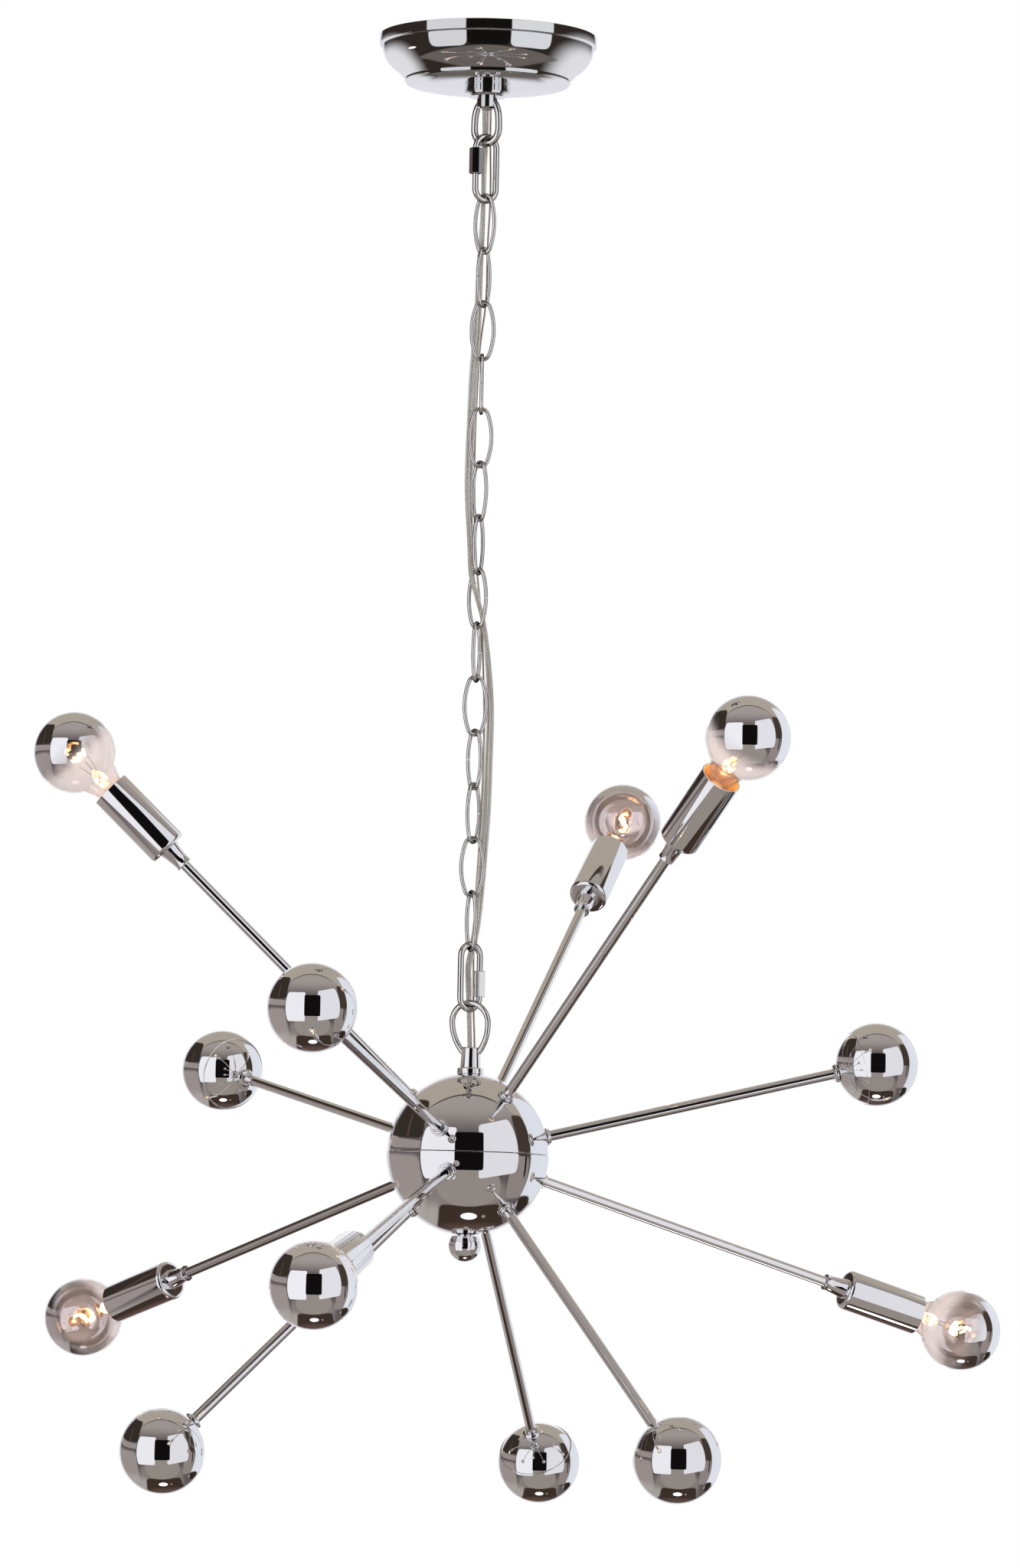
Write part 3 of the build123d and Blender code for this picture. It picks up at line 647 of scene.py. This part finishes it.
def stretches(points):
    """The line cut at the middle of each link."""
    parts = []
    start, first = points[0], 1
    for cut in CUTS:
        spot, after = at_height(points, cut * MM)
        parts.append([start] + points[first:after] + [spot])
        start, first = spot, after
    parts.append([start] + points[first:])
    return parts


def twin_outline(lobe=1.38, apart=1.32, sides=14):
    """Outline of two round lobes side by side, joined at a waist."""
    dip = degrees(acos(apart / lobe))
    right_lobe = arc(apart, 0, lobe, -180 + dip + 4, 180 - dip - 4, sides)
    left_lobe = [(-x, -y) for x, y in right_lobe]
    return [(MM * x, MM * y) for x, y in right_lobe + left_lobe]


def offset_line(points, turns, normal, distance):
    """A line beside another, turning round it."""
    return [
        point + (side * cos(turn) + over * sin(turn)) * distance
        for (point, side, over), turn in zip(framed(points, normal), turns)
    ]


def length_of(points):
    """Length along points."""
    return sum((b - a).length for a, b in zip(points, points[1:]))


def thin(points, least):
    """Points of a line that are at least a distance apart, with both ends."""
    result = [points[0]]
    for point in points[1:-1]:
        if (point - result[-1]).length > least and (point - points[-1]).length > least / 2:
            result.append(point)
    return result + [points[-1]]


print("line helpers ready")

# %%
THINNED = 0.0011


def hang(name, route, outline, node_name, slot, skin, cores=()):
    """One hanging line in stretches, cut at the middle of each link of the drop."""
    line = along_nurbs(name, route)
    total = 0
    pieces = []
    for i, part in enumerate(stretches(line)):
        part = thin(part, THINNED)
        span = length_of(part)
        total += span
        # the two lobes turn slowly round each other on the way down
        turns = [radians(-20) + 12.2 * point.z for point in part]
        made = []
        shape = bmesh.new()
        tube(shape, part, outline, (1, 0, 0), turns)
        made.append((f"{name}_{i + 1}", shape, skin, slot))
        if cores:
            shape = bmesh.new()
            for offset in cores:
                beside = offset_line(part, turns, (1, 0, 0), offset * MM)
                tube(shape, beside, circle(0.55 * MM, 8), (1, 0, 0))
            made.append((f"{name}_cores_{i + 1}", shape, conductor, None))
        objects = []
        for label, shape, finish, use in made:
            piece = linked(label, finished(shape, label, 60), finish)
            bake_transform(piece)
            objects.append(piece)
        tuple(part[0])
        [tuple(p) for p in part]
        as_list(objects[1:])
        pieces += objects
    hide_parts(node_name)
    print(name, "length", round(total, 4), "m in", len(CUTS) + 1, "stretches")


hang(
    "cord", CORD_ROUTE, twin_outline(), "supply_cord", "clear_cord", clear_cord, (-1.32, 1.32)
)
hang(
    "earth_wire", GROUND_ROUTE, circle(0.6 * MM, 8), "ground_wire", "ground_wire", bare_wire
)

# %% [markdown]
# ## Canopy
# The cup at the ceiling. Its outline runs down the outside and back up the inside.

# %%
rim = [(67, 0), (67, -5.9)] + through((67, -5.9), (66.2, -6.7), (65.3, -6.9))[1:]
rim += through((65.3, -6.9), (62.6, -15.4), (57, -21), 16)[1:]
rim += through((57, -21), (53.85, -23.9), (51.1, -27.2))[1:]
rim += through((51.1, -27.2), (50.8, -29.0), (49.4, -30))[1:]
inside = [(6.6, -30), (6.6, -28.8), (49.0, -28.8), (50.8, -25.9)]
inside += through((50.8, -25.9), (53.1, -22.5), (56.3, -20.0))[1:]
inside += through((56.3, -20), (61.5, -14.8), (64.2, -6.9), 16)[1:] + [(65.8, -5.9), (65.8, 0)]
canopy_outline = eased(rim + inside, 0.3)
lathe(
    "canopy_skin", [Matrix()], canopy_outline, "canopy_group", chrome, ["canopy"], 160,
)
print("canopy from an outline of", len(canopy_outline), "points")

# %% [markdown]
# ## Chain and quick links
# Each link is one round wire along a flat path, set on the drop line at its own turn.
# The chain's links are split at the middle of one side. The quick links have a gap under their sleeve.

# %%
# one chain link, in millimetres: its long sides are arcs, and its ends tighter arcs
LINK_WIRE = 1.2
LINK_SIDE, LINK_HALF_WIDTH = 44.394, 6.8
LINK_END, LINK_END_AT = 4.5, 13.35
LINK_MEET = 19.55
LINK_HALF_SPLIT = 0.15


def link_path(side):
    """Oval of one chain link, counter-clockwise from its split."""
    split = degrees(LINK_HALF_SPLIT / LINK_SIDE)
    middle = LINK_HALF_WIDTH - LINK_SIDE
    points = arc(middle, 0, LINK_SIDE, split, LINK_MEET, 8)
    points += arc(0, LINK_END_AT, LINK_END, LINK_MEET, 180 - LINK_MEET, 20)[1:]
    points += arc(-middle, 0, LINK_SIDE, 180 - LINK_MEET, 180 + LINK_MEET, 16)[1:]
    points += arc(0, -LINK_END_AT, LINK_END, 180 + LINK_MEET, 360 - LINK_MEET, 20)[1:]
    points += arc(middle, 0, LINK_SIDE, -LINK_MEET, -split, 8)[1:]
    return [(side * x, side * y) for x, y in points]


for number, (turn, side) in enumerate(zip(LINK_TURNS, SPLIT_SIDES)):
    spot = upright(LINK_MIDDLES[number], turn)
    label = f"chain_link_{number + 1:02d}"
    rod(
        f"{label}_wire", spot, [link_path(side)], LINK_WIRE, label, chain_plating_and_edge_shade,
        [label], sides=16,
    )


# one quick link: its wire, half its width, where its bows start, and its gap
QUICK_WIRE = 1.9
QUICK_HALF, QUICK_BOW_AT = 7.35, 12.5
QUICK_GAP = (4, 10)


def quick_path(leg, end):
    """Long link with straight legs, from one side of its gap to the other."""
    points = [(leg * QUICK_HALF, end * QUICK_GAP[1])]
    turns = [radians(t) for t in range(0, 181, 9)]
    for way in (1, -1):
        points += [
            (way * leg * QUICK_HALF * cos(t), way * end * (QUICK_BOW_AT + QUICK_HALF * sin(t))) for t in turns
        ]
    return points + [(leg * QUICK_HALF, end * QUICK_GAP[0])]


for label, height, turn, leg, end in (
    ("upper_quick_link", UPPER_QUICK, 31, -1, 1), ("lower_quick_link", LOWER_QUICK, 38, 1, -1),
):
    spot = upright(height, turn)
    rod(
        f"{label}_wire", spot, [quick_path(leg, end)], QUICK_WIRE, label, link_plating_and_edge_shade,
        [label], sides=20,
    )
    # the hexagon sleeve over the gap, 7 mm across its flats, its ends eased
    low, high = (-3.7, 12.3) if end > 0 else (-12.3, 3.7)
    corner, ease, bore = 3.5 / cos(radians(30)), 0.35, 1.96
    nut = [(bore, low), (corner - ease, low), (corner, low + ease), (corner, high - ease)]
    nut += [(corner - ease, high), (bore, high)]
    side = spot @ Vector((leg * QUICK_HALF, 0, 0))
    # the lower sleeve shows an edge to the front, the upper one a flat
    turned = Matrix.Rotation(radians(15 - 15 * end), 4, "Z")
    seat = Matrix.Translation((side.x, side.y, height)) @ turned
    sleeve = label.replace("quick_link", "link_sleeve")
    lathe(
        label.replace("quick_link", "hex_sleeve"), [seat], nut, sleeve, link_plating_and_edge_shade,
        [sleeve], 6,
    )
print(len(LINK_TURNS), "chain links and 2 quick links")

# %% [markdown]
# ## Hub, arms and balls
# All turned pieces. Each kind is one piece with its outline spun in every arm's frame.

# %%
def on_hub(name, spots, outline, node_name, steps):
    """One chrome piece of the hub, its outline spun in each frame."""
    return lathe(name, spots, outline, "hub_group", chrome, [node_name], steps)


UPPER, LOWER, SHEET = 49.6, 50, 1.2
ARM, ARM_BORE, ARM_START = 3.25, 2.25, 42
hub_spot = Matrix.Translation(HUB) @ HUB_TURN.to_4x4()
upper = arc(0, 0, UPPER, 0.45, 90, 48)[:-1] + [(0, UPPER), (0, UPPER - SHEET)]
upper += arc(0, 0, UPPER - SHEET, 90, 0.45, 24)[1:]
on_hub("upper_hub_skin", [hub_spot], eased(upper, 0.2), "hub_upper_shell", 160)
lower = arc(0, 0, LOWER, 0, -90, 48)[:-1] + [(0, -LOWER), (0, SHEET - LOWER)]
lower += arc(0, 0, LOWER - SHEET, -90, 0, 24)[1:]
on_hub("lower_hub_skin", [hub_spot], eased(lower, 0.2), "hub_lower_shell", 160)

seats = [place(az, el, UPPER if el > 0 else LOWER) for az, el in LAMPS + BALLS]
collar = [(3.31, 0), (5.5, 0), (5.5, 1.1), (4.6, 1.2), (4.6, 2.6), (3.31, 2.6)]
on_hub("hub_collar_rings", seats, eased(collar, 0.3), "hub_end_collars", 48)
lamp_spots = [place(az, el) for az, el in LAMPS]
ball_spots = [place(az, el) for az, el in BALLS]
lamp_arm = [(ARM_BORE, ARM_START), (ARM, ARM_START), (ARM, 272), (ARM_BORE, 272)]
on_hub("lamp_arm_tubes", lamp_spots, lamp_arm, "lamp_arms", 40)
ball_arm = [(0, ARM_START), (ARM, ARM_START), (ARM, 240.6), (0, 240.6)]
on_hub("ball_arm_rods", ball_spots, ball_arm, "ball_arms", 40)
print("hub and 12 arms")

# %% [markdown]
# Each ball is two thin shells: a larger one in front and a smaller one that slips into it behind.

# %%
BALL_AT, BALL = 262, 26
FRONT_EDGE, REAR_EDGE = -11.7, -9.2


def edge_angle(height, radius):
    """Angle at which a shell of a radius reaches a height above its middle."""
    return degrees(asin(height / radius))


front = arc(0, BALL_AT, BALL, edge_angle(FRONT_EDGE, BALL), 90, 40)[:-1]
front += [(0, BALL_AT + BALL), (0, BALL_AT + 25.5)]
front += arc(0, BALL_AT, 25.5, 90, edge_angle(FRONT_EDGE, 25.5), 20)[1:]
on_hub("ball_fronts", ball_spots, eased(front, 0.15), "ball_front_shells", 96)
rear = arc(0, BALL_AT, 25.4, edge_angle(REAR_EDGE, 25.4), -90 + edge_angle(3.4, 25.4), 28)
rear += arc(0, BALL_AT, 24.6, -90 + edge_angle(3.4, 24.6), edge_angle(REAR_EDGE, 24.6), 16)
on_hub("ball_backs", ball_spots, rear, "ball_rear_shells", 96)
ball_collar = [(3.31, 234.4), (4.6, 234.4), (5.8, 235.4), (5.8, 236.9), (3.31, 236.7)]
on_hub("ball_collar_rings", ball_spots, eased(ball_collar, 0.3), "ball_end_collars", 48)
print("6 balls")

# %% [markdown]
# ## Lamps
# A flared ferrule, a plain cup and a globe bulb whose front is mirrored.
# Inside each bulb a coil glows on three thin supports that stand on a glass stem.

# %%
ferrule = [(3.31, 248), (5.0, 248), (5.2, 248.4), (5.0, 249.2), (4.8, 249.8), (5.15, 253.5)]
ferrule += [(5.7, 257.8), (6.5, 261.8), (3.31, 261.8)]
on_hub("flared_ferrules", lamp_spots, eased(ferrule, 0.3), "ferrules", 48)
cup = [(3.31, 261.8)] + arc(9.9, 264.4, 2.6, -90, 0, 8) + [(12.5, 313.4), (11.5, 313.4), (11.5, 264.4)]
cup += [(9.9, 262.8), (3.31, 262.8)]
GLOBE_AT, GLOBE, GLOBE_INSIDE = 345, 25, 24.4
neck_start = edge_angle(323.35 - GLOBE_AT, GLOBE)
envelope = [(5.58, 308), (7.2, 311), (12.5, 323.35)]
envelope += arc(0, GLOBE_AT, GLOBE, neck_start, 90, 40)[1:-1]
envelope += [(0, GLOBE_AT + GLOBE), (0, GLOBE_AT + GLOBE_INSIDE)]
envelope += arc(0, GLOBE_AT, GLOBE_INSIDE, 90, edge_angle(-21.2, GLOBE_INSIDE), 30)[1:]
envelope += [(6.6, 311.2), (4.9, 308)]
stem = [(0, 309), (3.4, 309), (3.5, 314), (3.2, 318), (3.7, 321), (3.9, 323), (3.4, 325.4)]
stem += [(2.0, 327.2), (1.1, 329), (0, 329.4)]
print("outlines of ferrule, cup, globe and stem")

# %%
FILAMENT_AT, SUPPORT_END = 339.8, 342.4


def coil(radius, pitch, half, turns_per=8):
    """Fine coil that zigzags in a shallow W across the bulb's middle."""
    points = []
    count = int(2 * half / pitch * turns_per)
    for i in range(count + 1):
        t = i / count
        across_bulb = half * (2 * t - 1)
        sag = 2.6 * abs((2 * t * 2) % 2 - 1)
        bow = 3.2 * sin(pi * t)
        turn = 2 * pi * i / turns_per
        points.append((across_bulb, bow + radius * cos(turn), FILAMENT_AT + sag + radius * sin(turn)))
    return points


supports = [((s * 1.4, 0, 326), (s * 3.2, 0, 331), (s * 5.5, 0, SUPPORT_END)) for s in (-1, 1)]
supports.append(((0, 0, 327), (0, 1.2, 333), (0, 3.2, SUPPORT_END)))
WIRE_NORMAL = (0.3, 0.5, 0.8)
for one, spot in enumerate(lamp_spots, 1):
    shell = lathe(
        f"cup_{one}", [spot], eased(cup, 0.25), "hub_group", (chrome, lit_chrome),
        [f"socket_sleeve_{one}"], 72,
    )
    # the inner wall of the cup gets the warm material
    home = spot.inverted()
    for face in shell.data.polygons:
        local = home @ (face.center / MM)
        if hypot(local.x, local.y) < 11.8 and local.z > 264.5:
            face.material_index = 1
    body = f"bulb_{one}"
    lathe(f"globe_{one}", [spot], envelope, body, glass, [f"bulb_{one}"], 96)
    lathe(f"glass_stem_{one}", [spot], stem, body, stem_glass, (), 24)
    turned_spot = spot @ Matrix.Rotation(radians(40 + 25 * one), 4, "Z")
    rod(
        f"filament_supports_{one}", turned_spot, supports, 0.16, body, tungsten,
        sides=6, normal=WIRE_NORMAL,
    )
    rod(
        f"filament_{one}", turned_spot, [coil(0.8, 0.95, 5.5)], 0.42, body, filament_glow,
        sides=5, normal=WIRE_NORMAL,
    )
print("6 lamps")

# %% [markdown]
# ## Wire loops at both ends of the drop
# Each is a turned stem with a ring of round wire in it.

# %%
canopy_stem = [
    (4.86, -24), (5.9, -24), (6.3, -24.4), (6.3, -44.0), (5.1, -45.2), (3.5, -45.2), (3.5, -34), (4.86, -34),
]
lathe(
    "canopy_stem", [Matrix()], eased(canopy_stem, 0.2), "canopy_group", chrome,
    ["canopy_loop"], 48,
)
RING_AT, RING = -57.55, 8.85
start, end = Vector((-4.7, -40.7)), Vector((-RING, RING_AT))
leave, meet = Vector((-12.8, -11.7)), Vector((0, -17.35))
left = []
for i in range(9):
    # a Hermite curve from the stem to the widest place of the ring
    t = i / 8
    left.append(tuple(
        start * (2 * t**3 - 3 * t**2 + 1) + leave * (t**3 - 2 * t**2 + t)
        + end * (3 * t**2 - 2 * t**3) + meet * (t**3 - t**2)
    ))
ring = left + arc(0, RING_AT, RING, 180, 360, 28)[1:] + [(-x, y) for x, y in left[::-1]][1:]
spot = upright(0, -33)
rod("canopy_ring", spot, [ring], 2.15, "canopy_group", chain_plating_and_edge_shade, sides=20)

# the ring on the hub stands on two feet that curve outwards from its stem
hub_stem = [
    (3.5, 65.3), (3.5, 55.5), (4.86, 55.5), (4.86, 49.45), (8.2, 49.0), (8.2, 52.1), (7.7, 52.6), (6.4, 52.6),
    (5.65, 64.7), (5.05, 65.3),
]
on_hub("hub_stem", [hub_spot], eased(hub_stem, 0.2), "hub_loop", 48)
RING_TOP = -597.1
HALF_RING, SHOULDER, SHOULDER_AT = 12.1, 28, 15.9
foot = hub_spot @ Vector((0, 0, 62))
rise = Vector((0, 0, RING_TOP)) - foot
side = Vector((cos(radians(-25)), sin(radians(-25)), 0))
normal = side.cross(rise).normalized()
rows = Matrix((rise.cross(normal).normalized(), rise.normalized(), normal)).transposed()
spot = Matrix.Translation(foot) @ rows.to_4x4()
height = rise.length - HALF_RING
ring = arc(SHOULDER_AT, height, SHOULDER, 221.1, 180, 8) + arc(0, height, HALF_RING, 180, 0, 32)[1:]
ring += arc(-SHOULDER_AT, height, SHOULDER, 0, -41.1, 8)[1:]
rod("hub_ring", spot, [ring], 1.75, "hub_group", chain_plating_and_edge_shade, sides=20)
print("2 wire loops")

# %% [markdown]
# ## Pieces that stay as CAD made them
# They only get a better material.

# %%
FINISHES = {
    "mounting_bracket": link_steel, "canopy_nipple": link_steel, "nipple_locknuts": link_steel,
    "screw_collar": chrome, "hub_rod": link_steel, "finial": chrome,
    "arm_nuts": link_steel, "lamp_leads": lead_white, "lampholders": ceramic,
}
FINISHES.update({f"bulb_base_{i}": brass for i in range(1, 7)})
for label, finish in FINISHES.items():
    for slot in nodes[label].material_slots:
        slot.material = finish
    if not nodes[label].material_slots:
        nodes[label].data.materials.append(finish)
print(len(FINISHES), "CAD nodes with new materials")

# %% [markdown]
# ## The studio
# Chrome shows the room. The world shader is a small studio painted by direction:
# the place on a mirror ball where a direction is seen is half-way between it and the eye,
# so each soft box or dark strip is placed by where it appears on the ball.

# %%
def patch_group():
    """Mask of a rounded box on the ball, from 0 to 1, its sides bowed like a meridian."""
    group, entry, leave = group_of(
        "patch",
        [("Where", "NodeSocketVector", (0, 0, 0)), ("Centre", "NodeSocketVector", (0, 0, 0)),
         ("Half", "NodeSocketVector", (1, 1, 1)), ("Power", "NodeSocketFloat", 8.0),
         ("Soft", "NodeSocketFloat", 0.1), ("Bow", "NodeSocketFloat", 0.0),
         ("Lean", "NodeSocketFloat", 0.0), ("Arch", "NodeSocketFloat", 0.0)],
        [("Mask", "NodeSocketFloat")],
    )

    def math(operation, *values):
        return maths(group, operation, *values)

    socket = entry.outputs
    axes, middle, half = (parted(group, socket[label]) for label in ("Where", "Centre", "Half"))
    right, up = axes[0], axes[2]
    narrow = math("SUBTRACT", 1.0, math("MULTIPLY", socket["Bow"], math("MULTIPLY", up, up)))
    bowed = math("DIVIDE", right, math("SQRT", math("MAXIMUM", narrow, 0.03)))
    beside = math("SUBTRACT", bowed, middle[0])
    raised = math("SUBTRACT", up, math("MULTIPLY", socket["Lean"], beside))
    raised = math("ADD", raised, math("MULTIPLY", socket["Arch"], math("MULTIPLY", right, right)))
    above = math("SUBTRACT", raised, middle[2])
    wide = math("ABSOLUTE", math("DIVIDE", beside, half[0]))
    tall = math("ABSOLUTE", math("DIVIDE", above, half[2]))
    both = math("ADD", math("POWER", wide, socket["Power"]), math("POWER", tall, socket["Power"]))
    reach = math("POWER", both, math("DIVIDE", 1.0, socket["Power"]))
    inner, outer = math("SUBTRACT", 1.0, socket["Soft"]), math("ADD", 1.0, socket["Soft"])
    feed(group, leave, [("Mask", ranged(group, reach, outer, inner, how="SMOOTHSTEP"))])
    return group


PATCH = patch_group()


def painted(tree, where, patches, colour):
    """Lay the patches one over the other on a ground colour."""
    for label, tone, centre, half, power, soft, bow, lean, arch in patches:
        patch = node(
            tree, "ShaderNodeGroup",
            [("Where", where), ("Centre", (centre[0], 0, centre[1])), ("Half", (half[0], 1, half[1])),
             ("Power", power), ("Soft", soft), ("Bow", bow), ("Lean", lean), ("Arch", arch)],
            node_tree=PATCH, label=label,
        )
        colour = mixed(tree, patch.outputs["Mask"], colour, (*tone, 1))
    return colour


print("patch group ready")

# %% [markdown]
# ## What the studio holds
# Each row is one patch: name, colour, centre (right, up), half size, power, softness, bow, lean and arch.
# The power squares the corners: 2 gives an ellipse and 16 nearly a box.

# %%
STUDIO = [
    ("back of the ceiling", (0.46, 0.405, 0.34), (0, 1.24), (1.2, 0.5), 20, 0.012, 0, 0, 0.75),
    ("ceiling edge", (0.06, 0.045, 0.035), (-0.04, 0.735), (0.44, 0.008), 14, 0.35, 0, 0, 0.75),
    ("left wall below", (0.37, 0.32, 0.305), (-0.79, -0.33), (0.22, 0.31), 5, 0.12, 0.9, 0, 0),
    ("left wall foot", (0.46, 0.42, 0.4), (-0.62, -0.8), (0.34, 0.24), 3, 0.4, 0.4, 0, 0),
    ("floor", (0.27, 0.235, 0.22), (0, -0.62), (0.5, 0.34), 4, 0.12, 0.3, 0, 0),
    ("low left sweep", (0.44, 0.41, 0.38), (-0.4, -0.77), (0.1, 0.16), 2, 0.55, 0, 0, 0),
    ("dark table", (0.053, 0.034, 0.026), (0.045, -0.8), (0.37, 0.175), 7, 0.04, -0.15, 0, -0.25),
    ("table front", (0.115, 0.072, 0.058), (0.06, -0.94), (0.34, 0.09), 3, 0.5, 0, 0, 0),
    ("lamp on the table", (3, 3, 3), (0.028, -0.752), (0.092, 0.038), 2, 0.16, 0, 0, 0),
    ("small lamp beside it", (0.4, 0.34, 0.33), (0.205, -0.752), (0.02, 0.018), 2, 0.3, 0, 0, 0),
    ("floor light", (0.335, 0.295, 0.265), (0.02, -0.37), (0.385, 0.262), 2.3, 0.02, 0, 0, 0),
    ("dark shelf", (0.04, 0.03, 0.024), (-0.8, 0.42), (0.235, 0.235), 7, 0.04, 0.75, 0, 0),
    ("shelf upright", (0.1, 0.065, 0.05), (-0.755, 0.33), (0.01, 0.15), 6, 0.3, 0.75, 0, 0),
    ("shelf edge", (0.36, 0.31, 0.295), (-0.76, 0.105), (0.185, 0.062), 8, 0.06, 0.8, -0.05, 0),
    ("far right wall", (0.84, 0.87, 0.93), (0.9, 0.03), (0.125, 0.66), 7, 0.03, 1.25, 0, 0),
    ("dark curtain", (0.062, 0.045, 0.034), (0.7, 0.24), (0.078, 0.245), 6, 0.05, 1.35, 0, 0),
    ("right wall below", (0.31, 0.265, 0.25), (0.64, -0.27), (0.115, 0.26), 5, 0.06, 1, 0, 0),
    ("curtain foot", (0.035, 0.024, 0.016), (0.74, -0.6), (0.075, 0.1), 3, 0.15, 0.5, 0, 0),
    ("left soft box", (0.98, 0.975, 1.01), (-0.365, 0.015), (0.212, 0.318), 16, 0.012, 2, 0, 0),
    ("right soft box", (0.86, 0.855, 0.89), (0.385, 0.075), (0.238, 0.33), 16, 0.012, 2, 0.16, 0),
    ("black strip", (0.006, 0.005, 0.005), (0.018, 0.045), (0.178, 0.232), 18, 0.012, 0.4, 0, 0),
    ("edge of the left box", (0.01, 0.009, 0.008), (-0.582, -0.1), (0.006, 0.23), 8, 0.2, 2, 0, 0),
    ("corner of the room", (0.014, 0.011, 0.009), (0.715, -0.13), (0.011, 0.14), 6, 0.25, 1, 0, 0),
]
print(len(STUDIO), "patches")

# %% [markdown]
# ## The world
# The patches lie on a ground colour that brightens upwards, and the limb of the ball is pale.

# %%
ROOM_EDGE = (0.80, 0.79, 0.86, 1)
world = bpy.data.worlds.new("studio")
scene.world = world
world.use_nodes = True
tree = world.node_tree
direction = node(tree, "ShaderNodeTexCoord").outputs["Generated"]
where = vectors(tree, "NORMALIZE", vectors(tree, "ADD", direction, (0, -1, 0)))
raised = ranged(tree, parted(tree, where)[2], 0.22, 0.60, how="SMOOTHSTEP")
ground = mixed(tree, raised, (0.13, 0.112, 0.108, 1), (0.40, 0.355, 0.33, 1))
room = painted(tree, where, STUDIO, ground)
reach = vectors(tree, "LENGTH", vectors(tree, "MULTIPLY", where, (1, 0, 1)))
limb = ranged(tree, reach, 0.945, 0.98, how="SMOOTHSTEP")
room = mixed(tree, limb, room, ROOM_EDGE)
# white for the camera, and for rays that go away from it through glass
path = node(tree, "ShaderNodeLightPath").outputs
away = ranged(tree, parted(tree, direction)[1], 0.0, 0.3, how="SMOOTHSTEP")
through_glass = maths(tree, "MULTIPLY", away, path["Is Transmission Ray"])
white = maths(tree, "MAXIMUM", through_glass, path["Is Camera Ray"])
feed(tree, tree.nodes["Background"], [("Color", mixed(tree, white, room, WHITE))])
scene.view_settings.view_transform = "Standard"
print("world", world.name, "with", len(tree.nodes), "nodes")

# %% [markdown]
# ## The sheet behind
# A white sheet hangs behind the light. Metal and glass see it too, and it glows so that it stays white.

# %%
def set_piece(name, shape, finish):
    """A piece of the set, which isn't part of the light."""
    mesh = bpy.data.meshes.new(name)
    shape.to_mesh(mesh)
    shape.free()
    return linked(name, mesh, finish)


shape = bmesh.new()
corners = [shape.verts.new((x, 2.4, z)) for x, z in ((-0.7, -1.5), (0.7, -1.5), (0.7, 0.4), (-0.7, 0.4))]
shape.faces.new(corners)
paper, tree, shader = material("white paper")
path = node(tree, "ShaderNodeLightPath").outputs
seen = maths(tree, "MAXIMUM", path["Is Camera Ray"], path["Is Glossy Ray"])
seen = maths(tree, "MAXIMUM", seen, path["Is Transmission Ray"])
glowing = node(tree, "ShaderNodeEmission", [("Color", WHITE), ("Strength", 1.0)])
feed(tree, shader, [("Base Color", (0.9, 0.9, 0.9, 1))])
show(tree, either(tree, seen, shader.outputs["BSDF"], glowing.outputs[0]))
backdrop = set_piece("backdrop", shape, paper)
print("sheet of", [round(c, 2) for c in backdrop.dimensions], "m")

# %% [markdown]
# ## The room near the ceiling
# The canopy hangs higher than the rest, so it sees the room from another place.
# A wide dome round the whole set shows that view to reflections that start at the canopy.
# Every other ray passes through it. Where a ray starts is read from its length and direction.

# %%
BY_THE_CEILING = [
    ("left sweep", (0.84, 0.84, 0.86), (-1.04, -0.74), (0.25, 0.56), 2.2, 0.38, 1, 0, 0),
    ("right sweep", (0.84, 0.84, 0.86), (1.04, -0.72), (0.31, 0.58), 2.2, 0.45, 1, 0, 0),
    ("left soft box", (0.76, 0.76, 0.78), (-0.385, -0.04), (0.178, 0.5), 6, 0.03, 1, 0, 0),
    ("right soft box", (0.78, 0.8, 0.82), (0.405, -0.04), (0.19, 0.505), 7, 0.03, 1, 0, 0),
    ("black strip", (0.008, 0.007, 0.006), (0.005, 0), (0.205, 0.5), 8, 0.03, 1, 0, 0),
    ("floor", (0.15, 0.132, 0.122), (0, -0.88), (0.8, 0.36), 1.5, 0.05, 1, 0, 0),
    ("window", (1.5, 1.5, 1.5), (-0.74, -0.47), (0.036, 0.03), 2, 0.2, 1, 0, 0),
]
UPWARD = (0, -0.9925, -0.122)
CANOPY_ABOVE = -45 * MM
shape = bmesh.new()
bmesh.ops.create_icosphere(shape, subdivisions=3, radius=2.2, matrix=Matrix.Translation((0, 0, -0.5)))
finish, tree, shader = material("view by the ceiling")
tree.nodes.remove(shader)
hit = node(tree, "ShaderNodeNewGeometry").outputs
where = vectors(tree, "NORMALIZE", vectors(tree, "SUBTRACT", UPWARD, hit["Incoming"]))
room = painted(tree, where, BY_THE_CEILING, (0.032, 0.024, 0.020, 1))
limb = ranged(tree, vectors(tree, "DOT_PRODUCT", where, UPWARD), 0.24, 0.15, how="SMOOTHSTEP")
room = mixed(tree, limb, room, ROOM_EDGE)
# the ray's start lies its own length back along the way it came
path = node(tree, "ShaderNodeLightPath").outputs
start = vectors(tree, "MULTIPLY_ADD", hit["Incoming"], path["Ray Length"], hit["Position"])
high = maths(tree, "GREATER_THAN", parted(tree, start)[2], CANOPY_ABOVE)
shown = maths(tree, "MULTIPLY", high, path["Is Glossy Ray"])
light = node(tree, "ShaderNodeEmission", [("Color", room)])
clear = node(tree, "ShaderNodeBsdfTransparent")
show(tree, either(tree, shown, clear.outputs["BSDF"], light.outputs[0]))
dome_shell = set_piece("dome", shape, finish)
print("dome with", len(BY_THE_CEILING), "patches")
